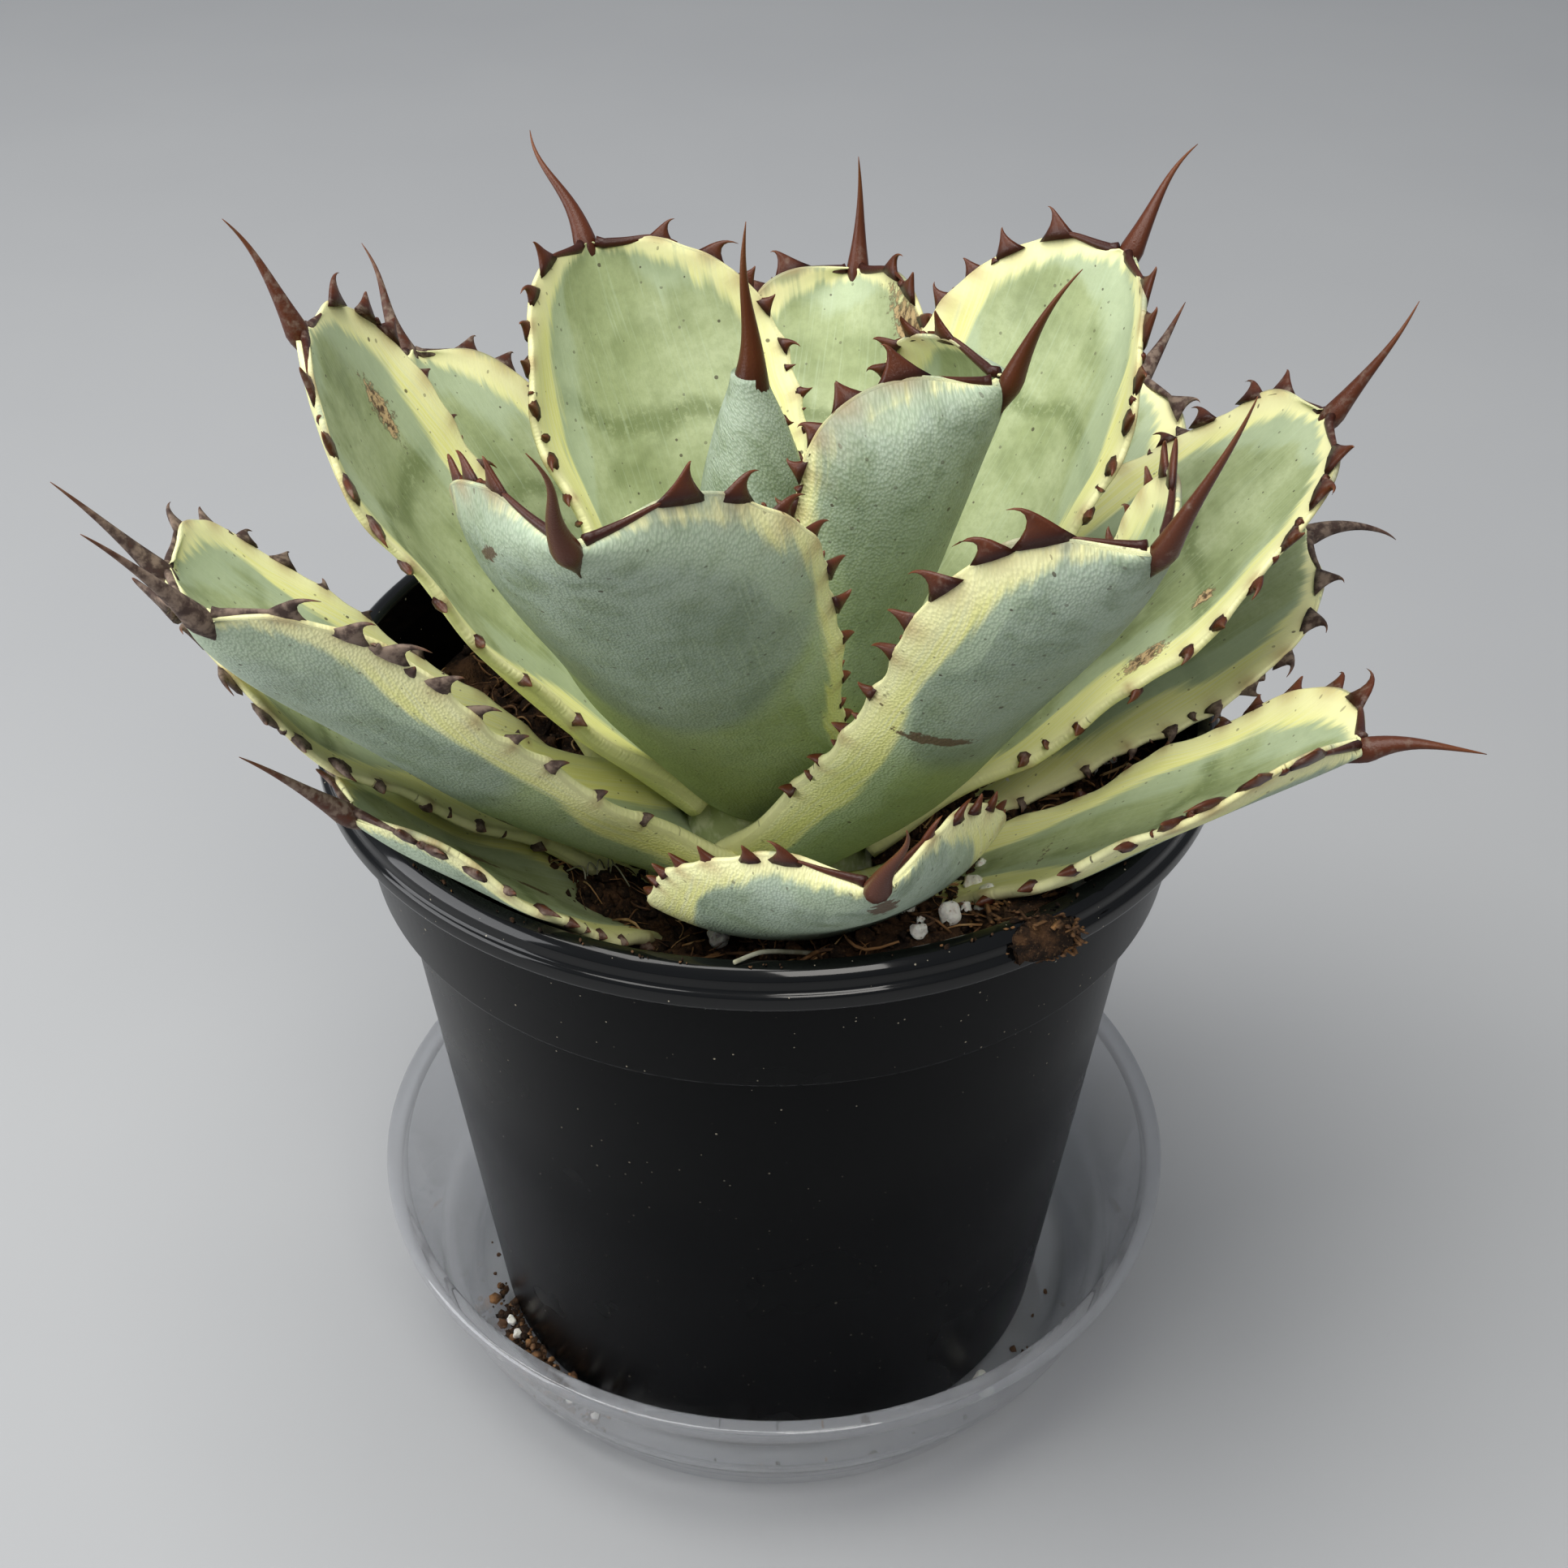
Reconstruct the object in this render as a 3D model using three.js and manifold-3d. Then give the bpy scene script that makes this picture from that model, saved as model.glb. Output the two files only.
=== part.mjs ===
// A variegated agave in a black nursery pot that stands in a clear saucer.
// Millimetres, +Z up. The origin is on the pot's axis, at the flat underside of the saucer.
import * as THREE from "three";
import Module from "manifold-3d";

const wasm = await Module();
wasm.setup();

const gap = 0.3; // left between neighbours
const cutMargin = 0.35; // how much larger a neighbour is when it cuts another leaf or the soil
const overrun = 1; // how far a cutting shape runs past the face that it cuts
const sides = { round: 40, soil: 32, stem: 20, drain: 10, bud: 12, spine: 6 };

const saucer = {
  centre: [1, -1.5],
  baseRadius: 60,
  baseRound: 2,
  stepRadius: 66,
  stepHeight: 13,
  stepRound: 1,
  wallTopRadius: 72.5,
  rimRadius: 75,
  rimDepth: 3,
  rimRound: 0.7,
  height: 35,
  wall: 1.2,
};
const pot = {
  footRadius: 53.5,
  footRing: 4.5, // width of the ring that it stands on
  footRound: 1,
  recess: 2.5, // how far the floor is above the foot
  floor: 2,
  wall: 1.6,
  bodyTopRadius: 65.5,
  stepHeight: 107.5,
  stepRise: 1,
  insideStep: [-1, 4], // where the inside of the step starts and ends, from the outside's
  collarRadius: 69,
  collarTopRadius: 73,
  lipRadius: 76.2,
  lipHeight: 130,
  lipRound: 0.6,
  beadHeight: 3.5, // of the bead round the foot of the lip
  beadDepth: 0.9,
  topRound: 1.6,
  height: 137,
  drains: 5,
  drainRadius: 5,
  drainCircle: 36,
};
const soil = {
  level: 117,
  crown: 1,
  rings: [0.88, 0.72, 0.55, 0.38],
  bump: 1.6,
  longWave: [0.21, 0.17],
  shortWave: [0.43, 0.38],
  edgeDepth: 3, // how far below its level the soil stays even
  pitRadius: 27,
  pitDepth: 20,
  pitLip: 4,
};
const plant = { axis: [0, -15] };
const stem = { top: 141, bottom: 90, topRadius: 7, flare: 0.33, rootRadius: 12, rootHeight: 8, shoulder: 2 };
const bud = {
  base: [-1, -13.5, 141.5],
  tip: [-3.5, -13, 200],
  belly: 11.5,
  // Share of the way to the tip, and share of the belly's radius
  profile: [
    [0, 0.65],
    [0.12, 0.93],
    [0.3, 1],
    [0.52, 0.87],
    [0.72, 0.68],
    [0.88, 0.45],
    [0.97, 0.27],
    [1.04, 0.2],
  ],
  spineTip: [-3.7, -13, 223.5],
  spineMiddle: 0.45,
  spineRadius: 1.1,
};
const blade = {
  thickness: 1.8,
  rootExtra: 3.6,
  thinning: 1.6, // power by which the extra thickness is lost from the root to the tip
  edge: 0.45, // share of the thickness that is lost at the margins
  tipBelly: 2.2,
  tipRound: 0.62,
  minHalfWidth: 1.6,
  minCup: 0.02,
  stations: 12,
  crowding: 1.5, // power by which the stations crowd towards the tip
  strips: 4,
  midribSteps: 48,
  rootSink: 1, // how far the midrib starts inside the stem
};
const teeth = {
  firstGap: 2,
  lastGap: 10,
  small: 1.3,
  large: 6,
  growth: 1.5,
  sizeRange: [0.8, 1.15],
  shift: 0.3,
  hook: [-0.675, 0.225],
  foot: 0.45,
};
const spine = {
  halfWidth: 2.3,
  halfThickness: 1.7,
  decurrent: 5,
  bend: 0.35,
  rings: [0, 0.28, 0.62],
  rootTaper: 0.55,
  taper: 0.8,
};

// The leaves from the innermost to the outermost. azimuth is counter-clockwise from +X, height is where the
// midrib leaves the stem, rise is its elevation at the root and at the tip, and bend turns it sideways.
// width is the widest half-width, at widestAt of the length, and root the half-width at the stem. cup is half
// the angle that the channel turns through, at the root and at the tip. Angles are in degrees.
const leaves = [
  { name: "leaf_01", azimuth: 338, height: 137, rise: [62, 75], bend: 0, twist: 0, length: 75,
    width: 28, widestAt: 0.75, root: 16, cup: [55, 105], spine: { length: 22, rise: 60, turn: -10 } },
  { name: "leaf_02", azimuth: 118, height: 133, rise: [46, 57], bend: 5, twist: 5, length: 84,
    width: 27, widestAt: 0.65, root: 18, cup: [65, 45], spine: { length: 23, rise: 35, turn: 0 } },
  { name: "leaf_03", azimuth: 246, height: 132, rise: [48, 56], bend: 10, twist: 5, length: 101,
    width: 29, widestAt: 0.7, root: 19, cup: [35, 70], spine: { length: 23, rise: 55, turn: 0 } },
  { name: "leaf_04", azimuth: 36, height: 128, rise: [40, 66], bend: -5, twist: -5, length: 96,
    width: 29, widestAt: 0.65, root: 17, cup: [35, 35], spine: { length: 22, rise: 35, turn: 15 } },
  { name: "leaf_05", azimuth: 174, height: 126, rise: [34, 74], bend: 5, twist: 5, length: 100,
    width: 26, widestAt: 0.8, root: 11, cup: [50, 10], spine: { length: 20, rise: 60, turn: 5 } },
  { name: "leaf_06", azimuth: 313, height: 122, rise: [44, 62], bend: -10, twist: 5, length: 107,
    width: 24, widestAt: 0.75, root: 21, cup: [45, 70], spine: { length: 27, rise: 65, turn: 10 } },
  { name: "leaf_07", azimuth: 80, height: 123, rise: [25, 49], bend: 0, twist: -25, length: 95,
    width: 27, widestAt: 0.6, root: 17, cup: [25, 55], spine: { length: 20, rise: 80, turn: 5 } },
  { name: "leaf_08", azimuth: 214, height: 119, rise: [30, 58], bend: 10, twist: 25, length: 111,
    width: 21, widestAt: 0.65, root: 17, cup: [55, 25], spine: { length: 22, rise: 50, turn: 0 } },
  { name: "leaf_09", azimuth: 16.5, height: 117, rise: [31.5, 49], bend: -4.5, twist: -10.5, length: 102.5,
    width: 28.5, widestAt: 0.65, root: 11.5, cup: [22.5, 11.5], spine: { length: 22, rise: 55, turn: 0 } },
  { name: "leaf_10", azimuth: 134, height: 117, rise: [27, 44], bend: 0, twist: 25, length: 96,
    width: 26, widestAt: 0.6, root: 17, cup: [25, 20], spine: { length: 21, rise: 47, turn: -5 } },
  { name: "leaf_11", azimuth: 50, height: 112, rise: [31.5, 34.5], bend: -7, twist: 11, length: 98.5,
    width: 22.5, widestAt: 0.65, root: 15, cup: [13.5, 30], spine: { length: 20, rise: 20, turn: 15 } },
  { name: "leaf_12", azimuth: 281.5, height: 116, rise: [22, 55.5], bend: 1, twist: 4, length: 71.5,
    width: 28, widestAt: 0.6, root: 19, cup: [13, 63.5], spine: { length: 22, rise: 55, turn: 0 } },
  { name: "leaf_13", azimuth: 29.5, height: 106.5, rise: [33, 30.5], bend: -23.5, twist: 7, length: 94.5,
    width: 27.5, widestAt: 0.75, root: 13, cup: [2, 12.5], spine: { length: 22, rise: -20, turn: 20 } },
  { name: "leaf_14", azimuth: 183, height: 111, rise: [26, 54], bend: 10, twist: 5, length: 99,
    width: 28, widestAt: 0.8, root: 11, cup: [30, 5], spine: { length: 22, rise: 50, turn: 5 } },
  { name: "leaf_15", azimuth: 108.5, height: 107, rise: [28.5, 28], bend: -1, twist: 0, length: 88.5,
    width: 26, widestAt: 0.6, root: 16, cup: [17.5, 28], spine: { length: 22, rise: 45, turn: 0 } },
  { name: "leaf_16", azimuth: 329, height: 109, rise: [32.5, 38], bend: 14.5, twist: -16, length: 94,
    width: 23, widestAt: 0.73, root: 9, cup: [2.5, 30.5], spine: { length: 18, rise: -3, turn: 10 } },
  { name: "leaf_17", azimuth: 66.5, height: 101, rise: [28, 34.5], bend: -2, twist: 3.5, length: 90,
    width: 25, widestAt: 0.6, root: 15.5, cup: [8.5, 35.5], spine: { length: 22, rise: 45, turn: 0 } },
  { name: "leaf_18", azimuth: 218, height: 106, rise: [31, 48], bend: -11, twist: 14, length: 72.5,
    width: 22, widestAt: 0.65, root: 10, cup: [8.5, 14.5], spine: { length: 22, rise: 45, turn: 10 } },
];

const colours = {
  clear: { color: 0xdfe4e6, roughness: 0.15, metalness: 0 },
  black: { color: 0x0c0d0f, roughness: 0.35, metalness: 0 },
  earth: { color: 0x2b1a10, roughness: 0.95, metalness: 0 },
  stem: { color: 0x8fa07a, roughness: 0.8, metalness: 0 },
  leaf: { color: 0x93aa98, roughness: 0.7, metalness: 0 },
};

const rad = THREE.MathUtils.degToRad;
const mix = THREE.MathUtils.lerp;
const vec = (x, y, z) => new THREE.Vector3(x, y, z);

// A repeatable random number from 0 to 1 for any whole number.
function draw(n) {
  const x = Math.sin(n * 12.9898) * 43758.5453;
  return x - Math.floor(x);
}

// Solids from vertices and triangles, and back to a geometry
function solidFrom(points, triangles) {
  const vertProperties = new Float32Array(points.flatMap((p) => [p.x, p.y, p.z]));
  const made = new wasm.Manifold(
    new wasm.Mesh({ numProp: 3, vertProperties, triVerts: new Uint32Array(triangles.flat()) }),
  );
  if (made.volume() < 0) throw new Error("a solid is inside out");
  return made;
}

function largestBody(solid) {
  return solid.decompose().reduce((a, b) => (b.volume() > a.volume() ? b : a));
}

function geometryOf(solid) {
  const mesh = solid.getMesh();
  const positions = [];
  for (const v of mesh.triVerts) {
    const at = v * mesh.numProp;
    positions.push(...mesh.vertProperties.slice(at, at + 3));
  }
  const geometry = new THREE.BufferGeometry();
  geometry.setAttribute("position", new THREE.Float32BufferAttribute(positions, 3));
  geometry.computeVertexNormals();
  return geometry;
}

// A closed solid through rings of points, each ring counter-clockwise seen from the end that it is going to.
function loft(rings, tipPoint) {
  const count = rings[0].length;
  const points = rings.flat();
  const triangles = [];
  for (let r = 0; r + 1 < rings.length; r++)
    for (let i = 0; i < count; i++) {
      const a = r * count + i;
      const b = r * count + ((i + 1) % count);
      triangles.push([a, b, b + count], [a, b + count, a + count]);
    }
  for (let i = 1; i + 1 < count; i++) triangles.push([0, i + 1, i]);
  const last = (rings.length - 1) * count;
  if (tipPoint) {
    points.push(tipPoint);
    for (let i = 0; i < count; i++) triangles.push([last + i, last + ((i + 1) % count), points.length - 1]);
  } else {
    for (let i = 1; i + 1 < count; i++) triangles.push([last, last + i, last + i + 1]);
  }
  return solidFrom(points, triangles);
}

// A body of revolution about a vertical axis. The profile runs [radius, height] from the axis at the bottom
// round the outside to the axis at the top, or, for a ring, round a closed outline.
function revolve(profile, sides, centre = [0, 0], heightAt = null) {
  const points = [];
  const rows = profile.map(([radius, height]) => {
    if (radius < 1e-6) {
      points.push(vec(centre[0], centre[1], height));
      return [points.length - 1];
    }
    return Array.from({ length: sides }, (_, i) => {
      const angle = (i / sides) * 2 * Math.PI;
      const x = radius * Math.cos(angle);
      const y = radius * Math.sin(angle);
      points.push(vec(centre[0] + x, centre[1] + y, height + (heightAt ? heightAt(x, y, height) : 0)));
      return points.length - 1;
    });
  });
  const triangles = [];
  for (let r = 0; r + 1 < rows.length; r++) {
    const low = rows[r];
    const high = rows[r + 1];
    for (let i = 0; i < sides; i++) {
      const j = (i + 1) % sides;
      if (low.length === 1) triangles.push([low[0], high[j], high[i]]);
      else if (high.length === 1) triangles.push([low[i], low[j], high[0]]);
      else triangles.push([low[i], low[j], high[j]], [low[i], high[j], high[i]]);
    }
  }
  return solidFrom(points, triangles);
}

// Leaf form
function stemRadius(height) {
  return stem.topRadius + (stem.top - height) * stem.flare;
}

function midrib(leaf) {
  const azimuth = rad(leaf.azimuth);
  const reach = stemRadius(leaf.height) - blade.rootSink;
  const points = [
    vec(plant.axis[0] + reach * Math.cos(azimuth), plant.axis[1] + reach * Math.sin(azimuth), leaf.height),
  ];
  const direction = (s) => {
    const rise = rad(mix(leaf.rise[0], leaf.rise[1], s));
    const heading = azimuth + rad(leaf.bend) * s;
    return vec(Math.cos(rise) * Math.cos(heading), Math.cos(rise) * Math.sin(heading), Math.sin(rise));
  };
  for (let i = 0; i < blade.midribSteps; i++) {
    const middle = direction((i + 0.5) / blade.midribSteps);
    points.push(points[i].clone().addScaledVector(middle, leaf.length / blade.midribSteps));
  }
  return { points, direction };
}

function halfWidth(leaf, s) {
  const widening = THREE.MathUtils.smoothstep(s / leaf.widestAt, 0, 1);
  if (s <= leaf.widestAt) return mix(leaf.root, leaf.width, widening);
  const past = (s - leaf.widestAt) / (1 - leaf.widestAt);
  const left = Math.max(0, 1 - Math.pow(past, blade.tipBelly));
  return Math.max(blade.minHalfWidth, leaf.width * Math.pow(left, blade.tipRound));
}

function thickness(s, v) {
  return (blade.thickness + blade.rootExtra * Math.pow(1 - s, blade.thinning)) * (1 - blade.edge * v * v);
}

// The frame of the blade at s from root to tip: v runs from -1 to 1 across it, and depth goes out of its back.
function bladeSurface(leaf, rib, grow) {
  return (s, v, depth) => {
    const place = s * blade.midribSteps;
    const step = Math.min(blade.midribSteps - 1, Math.floor(place));
    const centre = rib.points[step].clone().lerp(rib.points[step + 1], place - step);
    const along = rib.direction(s);
    const heading = rad(leaf.azimuth + leaf.bend * s);
    const level = vec(-Math.sin(heading), Math.cos(heading), 0);
    const inward = along.clone().cross(level);
    const twist = rad(leaf.twist) * s;
    const side = level.clone().multiplyScalar(Math.cos(twist)).addScaledVector(inward, Math.sin(twist));
    const up = level.clone().multiplyScalar(-Math.sin(twist)).addScaledVector(inward, Math.cos(twist));
    const cup = Math.max(rad(mix(leaf.cup[0], leaf.cup[1], s)), blade.minCup);
    const width = halfWidth(leaf, s) + grow;
    const angle = v * cup;
    const normal = up.clone().multiplyScalar(Math.cos(angle)).addScaledVector(side, -Math.sin(angle));
    const across = side.clone().multiplyScalar(Math.cos(angle)).addScaledVector(up, Math.sin(angle));
    const point = centre
      .addScaledVector(side, (width / cup) * Math.sin(angle))
      .addScaledVector(up, (width / cup) * (1 - Math.cos(angle)))
      .addScaledVector(normal, -depth);
    return { point, normal, across, along };
  };
}

// The row that a share from 0 to 1 of the leaf's length lies on: rows are closer towards the tip.
function rowAt(row) {
  return 1 - Math.pow(1 - row / blade.stations, blade.crowding);
}

// One tooth in each gap between rows, small near the root and larger near the tip, a little out of step
function toothPlaces(index, margin) {
  const places = new Map();
  const seed = index * 100 + (margin > 0 ? 50 : 0);
  const count = teeth.lastGap - teeth.firstGap;
  for (let row = teeth.firstGap; row <= teeth.lastGap; row++) {
    const share = (row - teeth.firstGap) / count;
    const range = mix(teeth.sizeRange[0], teeth.sizeRange[1], draw(seed + row));
    const size = mix(teeth.small, teeth.large, Math.pow(share, teeth.growth)) * range;
    const shift = (draw(seed + row + 15) - 0.5) * teeth.shift;
    const hook = mix(teeth.hook[0], teeth.hook[1], draw(seed + row + 30));
    places.set(row, { s: mix(rowAt(row), rowAt(row + 1), 0.5 + shift), size, hook });
  }
  return places;
}

// The two ends of a tooth's foot on the margin, as places along the leaf, and its point
function toothForm(surface, margin, place, grow) {
  const middle = (s) => surface(s, margin, thickness(s, margin) / 2).point;
  const step = 0.004; // a small share of the leaf's length
  const speed = middle(place.s + step).distanceTo(middle(place.s - step)) / (2 * step);
  const half = (place.size * teeth.foot + grow) / speed;
  const along = middle(place.s + step).sub(middle(place.s - step)).normalize();
  const here = surface(place.s, margin, thickness(place.s, margin) / 2);
  const out = along.clone().cross(here.normal).normalize();
  if (out.dot(here.across) * margin < 0) out.negate();
  const tip = here.point
    .clone()
    .addScaledVector(out, place.size + grow)
    .addScaledVector(along, place.hook * place.size);
  return { from: place.s - half, to: place.s + half, tip };
}

// The blade as a closed shell with the teeth on its margins: the same diagonals are used on both faces.
function bladeSolid(surface, toothRows, grow) {
  const rows = blade.stations + 1;
  const columns = blade.strips + 1;
  const points = [];
  const put = (s, v) => {
    points.push(surface(s, v, -grow).point, surface(s, v, thickness(s, v) + grow).point);
    return points.length - 2;
  };
  const grid = Array.from({ length: rows }, (_, i) =>
    Array.from({ length: columns }, (_, j) => put(rowAt(i), (2 * j) / blade.strips - 1)),
  );
  const triangles = [];
  const tri = (a, b, c) => triangles.push([a, b, c]);
  const both = (a, b, c) => {
    tri(a, b, c);
    tri(a + 1, c + 1, b + 1);
  };
  for (let i = 0; i + 1 < rows; i++) {
    for (let j = 1; j + 2 < columns; j++) {
      both(grid[i][j], grid[i + 1][j], grid[i + 1][j + 1]);
      both(grid[i][j], grid[i + 1][j + 1], grid[i][j + 1]);
    }
    for (const margin of [-1, 1]) {
      const inner = margin < 0 ? 1 : columns - 2;
      const outer = margin < 0 ? 0 : columns - 1;
      const face = (a, b, c) => (margin < 0 ? both(a, b, c) : both(a, c, b));
      const wall = (a, b, c) => (margin < 0 ? tri(a, b, c) : tri(a, c, b));
      const place = toothRows[margin].get(i);
      const chain = [grid[i][outer]];
      if (place) {
        const form = toothForm(surface, margin, place, grow);
        chain.push(put(form.from, margin), put(form.to, margin));
        points.push(form.tip);
      }
      const tip = points.length - 1;
      chain.push(grid[i + 1][outer]);
      chain.slice(1).forEach((next, k) => {
        const last = chain[k];
        face(last, next, k < (chain.length - 1) / 2 ? grid[i][inner] : grid[i + 1][inner]);
        if (place && k === 1) {
          wall(last, tip, next);
          wall(last + 1, next + 1, tip);
          wall(last, last + 1, tip);
          wall(next, tip, next + 1);
        } else {
          wall(last, last + 1, next + 1);
          wall(last, next + 1, next);
        }
      });
      const turn = chain[Math.ceil((chain.length - 1) / 2)];
      face(grid[i][inner], turn, grid[i + 1][inner]);
    }
  }
  for (const [row, flip] of [[grid[0], false], [grid[rows - 1], true]])
    for (let j = 0; j + 1 < columns; j++) {
      const [a, b] = flip ? [row[j + 1], row[j]] : [row[j], row[j + 1]];
      tri(a, b, b + 1);
      tri(a, b + 1, a + 1);
    }
  return solidFrom(points, triangles);
}

// A tooth by itself, for finding out what it would cross
function toothSolid(surface, margin, place, grow) {
  const form = toothForm(surface, margin, place, grow);
  const corner = (s, back) => surface(s, margin, back ? thickness(s, margin) : 0).point;
  const base = [corner(form.from, 0), corner(form.to, 0), corner(form.to, 1), corner(form.from, 1)];
  const turn = base[1].clone().sub(base[0]).cross(base[3].clone().sub(base[0]));
  return loft([turn.dot(form.tip.clone().sub(base[0])) > 0 ? base : base.reverse()], form.tip);
}

function spineSolid(leaf, rib, grow) {
  const end = rib.points[blade.midribSteps];
  const along = rib.direction(1);
  const heading = rad(leaf.azimuth + leaf.bend + leaf.spine.turn);
  const rise = rad(leaf.spine.rise);
  const reach = vec(Math.cos(rise) * Math.cos(heading), Math.cos(rise) * Math.sin(heading), Math.sin(rise));
  const tip = end.clone().addScaledVector(reach, leaf.spine.length + grow);
  const start = end.clone().addScaledVector(along, -spine.decurrent);
  const bendPoint = end.clone().addScaledVector(along, leaf.spine.length * spine.bend);
  const curve = new THREE.QuadraticBezierCurve3(start, bendPoint, tip);
  const rings = spine.rings.map((t) => {
    const centre = curve.getPoint(t);
    const ahead = curve.getTangent(t);
    const side = vec(-Math.sin(heading), Math.cos(heading), 0).projectOnPlane(ahead).normalize();
    const up = ahead.clone().cross(side);
    const taper = t === 0 ? spine.rootTaper : 1 - spine.taper * Math.pow(t, spine.taper);
    return Array.from({ length: sides.spine }, (_, i) => {
      const angle = (i / sides.spine) * 2 * Math.PI;
      return centre
        .clone()
        .addScaledVector(side, (spine.halfWidth * taper + grow) * Math.cos(angle))
        .addScaledVector(up, (spine.halfThickness * taper + grow) * Math.sin(angle));
    });
  });
  return loft(rings, tip);
}

// A whole leaf, grown by the cutting margin where it is to cut a neighbour
function leafSolid(leaf, toothRows, grow) {
  const rib = midrib(leaf);
  return bladeSolid(bladeSurface(leaf, rib, grow), toothRows, grow).add(spineSolid(leaf, rib, grow));
}

const noTeeth = { [-1]: new Map(), 1: new Map() };

function meet(a, b) {
  const p = a.boundingBox();
  const q = b.boundingBox();
  if (p.min.some((low, i) => low > q.max[i] || q.min[i] > p.max[i])) return false;
  return a.intersect(b).volume() > 1e-6;
}

// The pieces
function saucerSolid() {
  const c = saucer;
  return revolve(
    [
      [0, 0],
      [c.baseRadius - c.baseRound, 0],
      [c.baseRadius, c.baseRound / 2],
      [c.stepRadius - c.stepRound, c.stepHeight - c.stepRound],
      [c.stepRadius + c.stepRound, c.stepHeight],
      [c.wallTopRadius, c.height - c.rimDepth],
      [c.rimRadius, c.height - c.rimDepth],
      [c.rimRadius, c.height - c.rimRound],
      [c.rimRadius - c.rimRound, c.height],
      [c.wallTopRadius - c.wall, c.height - c.rimRound],
      [c.stepRadius + c.stepRound - c.wall, c.stepHeight + c.stepRound / 2],
      [c.stepRadius - c.stepRound - c.wall, c.stepHeight - c.stepRound / 2],
      [c.baseRadius - c.wall, c.wall + c.baseRound / 2],
      [c.baseRadius - c.wall - c.baseRound, c.wall],
      [0, c.wall],
    ],
    sides.round,
    c.centre,
  );
}

const potFoot = saucer.wall + gap;

// The radius inside the pot: the collar's above its step, and the tapered body's below it
function potInnerRadius(height) {
  const c = pot;
  if (height >= c.stepHeight + c.insideStep[1]) {
    const share = (height - c.stepHeight) / (c.height - c.stepHeight);
    return mix(c.collarRadius, c.collarTopRadius, share) - c.wall;
  }
  const share = (height - potFoot) / (c.stepHeight - potFoot);
  return mix(c.footRadius, c.bodyTopRadius, share) - c.wall;
}

function potSolid() {
  const c = pot;
  const floorUnder = potFoot + c.recess;
  const floorTop = floorUnder + c.floor;
  const [stepLow, stepHigh] = c.insideStep.map((z) => c.stepHeight + z);
  const shell = revolve(
    [
      [0, floorUnder],
      [c.footRadius - c.footRing - c.wall, floorUnder],
      [c.footRadius - c.footRing, potFoot],
      [c.footRadius - c.footRound, potFoot],
      [c.footRadius, potFoot + c.footRound],
      [c.bodyTopRadius, c.stepHeight],
      [c.collarRadius, c.stepHeight + c.stepRise],
      [c.collarTopRadius - c.lipRound, c.lipHeight - c.lipRound],
      [c.lipRadius - c.lipRound, c.lipHeight],
      [c.lipRadius, c.lipHeight + c.lipRound],
      [c.lipRadius, c.lipHeight + c.beadHeight - c.lipRound],
      [c.lipRadius - c.beadDepth, c.lipHeight + c.beadHeight],
      [c.lipRadius - c.beadDepth, c.height - c.topRound],
      [c.lipRadius - c.beadDepth - c.topRound, c.height],
      [c.collarTopRadius - c.wall, c.height - c.lipRound],
      [potInnerRadius(stepHigh), stepHigh],
      [potInnerRadius(stepLow), stepLow],
      [potInnerRadius(floorTop), floorTop],
      [0, floorTop],
    ],
    sides.round,
  );
  let pierced = shell;
  for (let i = 0; i < c.drains; i++) {
    const angle = ((i + 0.5) / c.drains) * 2 * Math.PI;
    const centre = [c.drainCircle * Math.cos(angle), c.drainCircle * Math.sin(angle)];
    const hole = [
      [0, floorUnder - overrun],
      [c.drainRadius, floorUnder - overrun],
      [c.drainRadius, floorTop + overrun],
      [0, floorTop + overrun],
    ];
    pierced = pierced.subtract(revolve(hole, sides.drain, centre));
  }
  return pierced;
}

// The soil fills the pot up to its level, with an uneven top and a pit round the stem under the leaves.
function soilSolid(cutters) {
  const bottom = potFoot + pot.recess + pot.floor + gap;
  const step = pot.stepHeight + pot.insideStep[0];
  const edge = potInnerRadius(soil.level) - gap;
  const uneven = (x, y, height) => {
    if (height < soil.level - soil.edgeDepth) return 0;
    const long = Math.sin(x * soil.longWave[0] + 1) * Math.cos(y * soil.longWave[1]);
    const short = Math.sin(x * soil.shortWave[0] - y * soil.shortWave[1]);
    return soil.bump * (long + short / 2);
  };
  const outside = [
    [0, bottom],
    [potInnerRadius(bottom) - gap, bottom],
    [potInnerRadius(step) - gap, step],
    [edge, soil.level],
  ];
  const top = soil.rings.map((share) => [edge * share, soil.level + soil.crown]);
  const body = revolve([...outside, ...top, [0, soil.level]], sides.soil, [0, 0], uneven);
  const low = soil.level - soil.pitDepth;
  const high = soil.level + soil.pitLip * 2;
  const pit = revolve(
    [
      [0, stem.bottom - gap],
      [stem.rootRadius + gap, stem.bottom - gap],
      [stemRadius(low) + stem.shoulder, low],
      [soil.pitRadius, soil.level - soil.pitLip],
      [soil.pitRadius + stem.shoulder, high],
      [0, high],
    ],
    sides.stem,
    plant.axis,
  );
  return largestBody(cutters.reduce((rest, cutter) => rest.subtract(cutter), body.subtract(pit)));
}

function stemSolid(grow) {
  const rootTop = stem.bottom + stem.rootHeight;
  const neck = stem.top - stem.shoulder;
  return revolve(
    [
      [0, stem.bottom - grow],
      [stem.rootRadius + grow, stem.bottom - grow],
      [stemRadius(rootTop) + grow, rootTop],
      [stemRadius(neck) + grow, neck],
      [stem.topRadius - stem.shoulder + grow, stem.top + grow],
      [0, stem.top + grow],
    ],
    sides.stem,
    plant.axis,
  );
}

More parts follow.
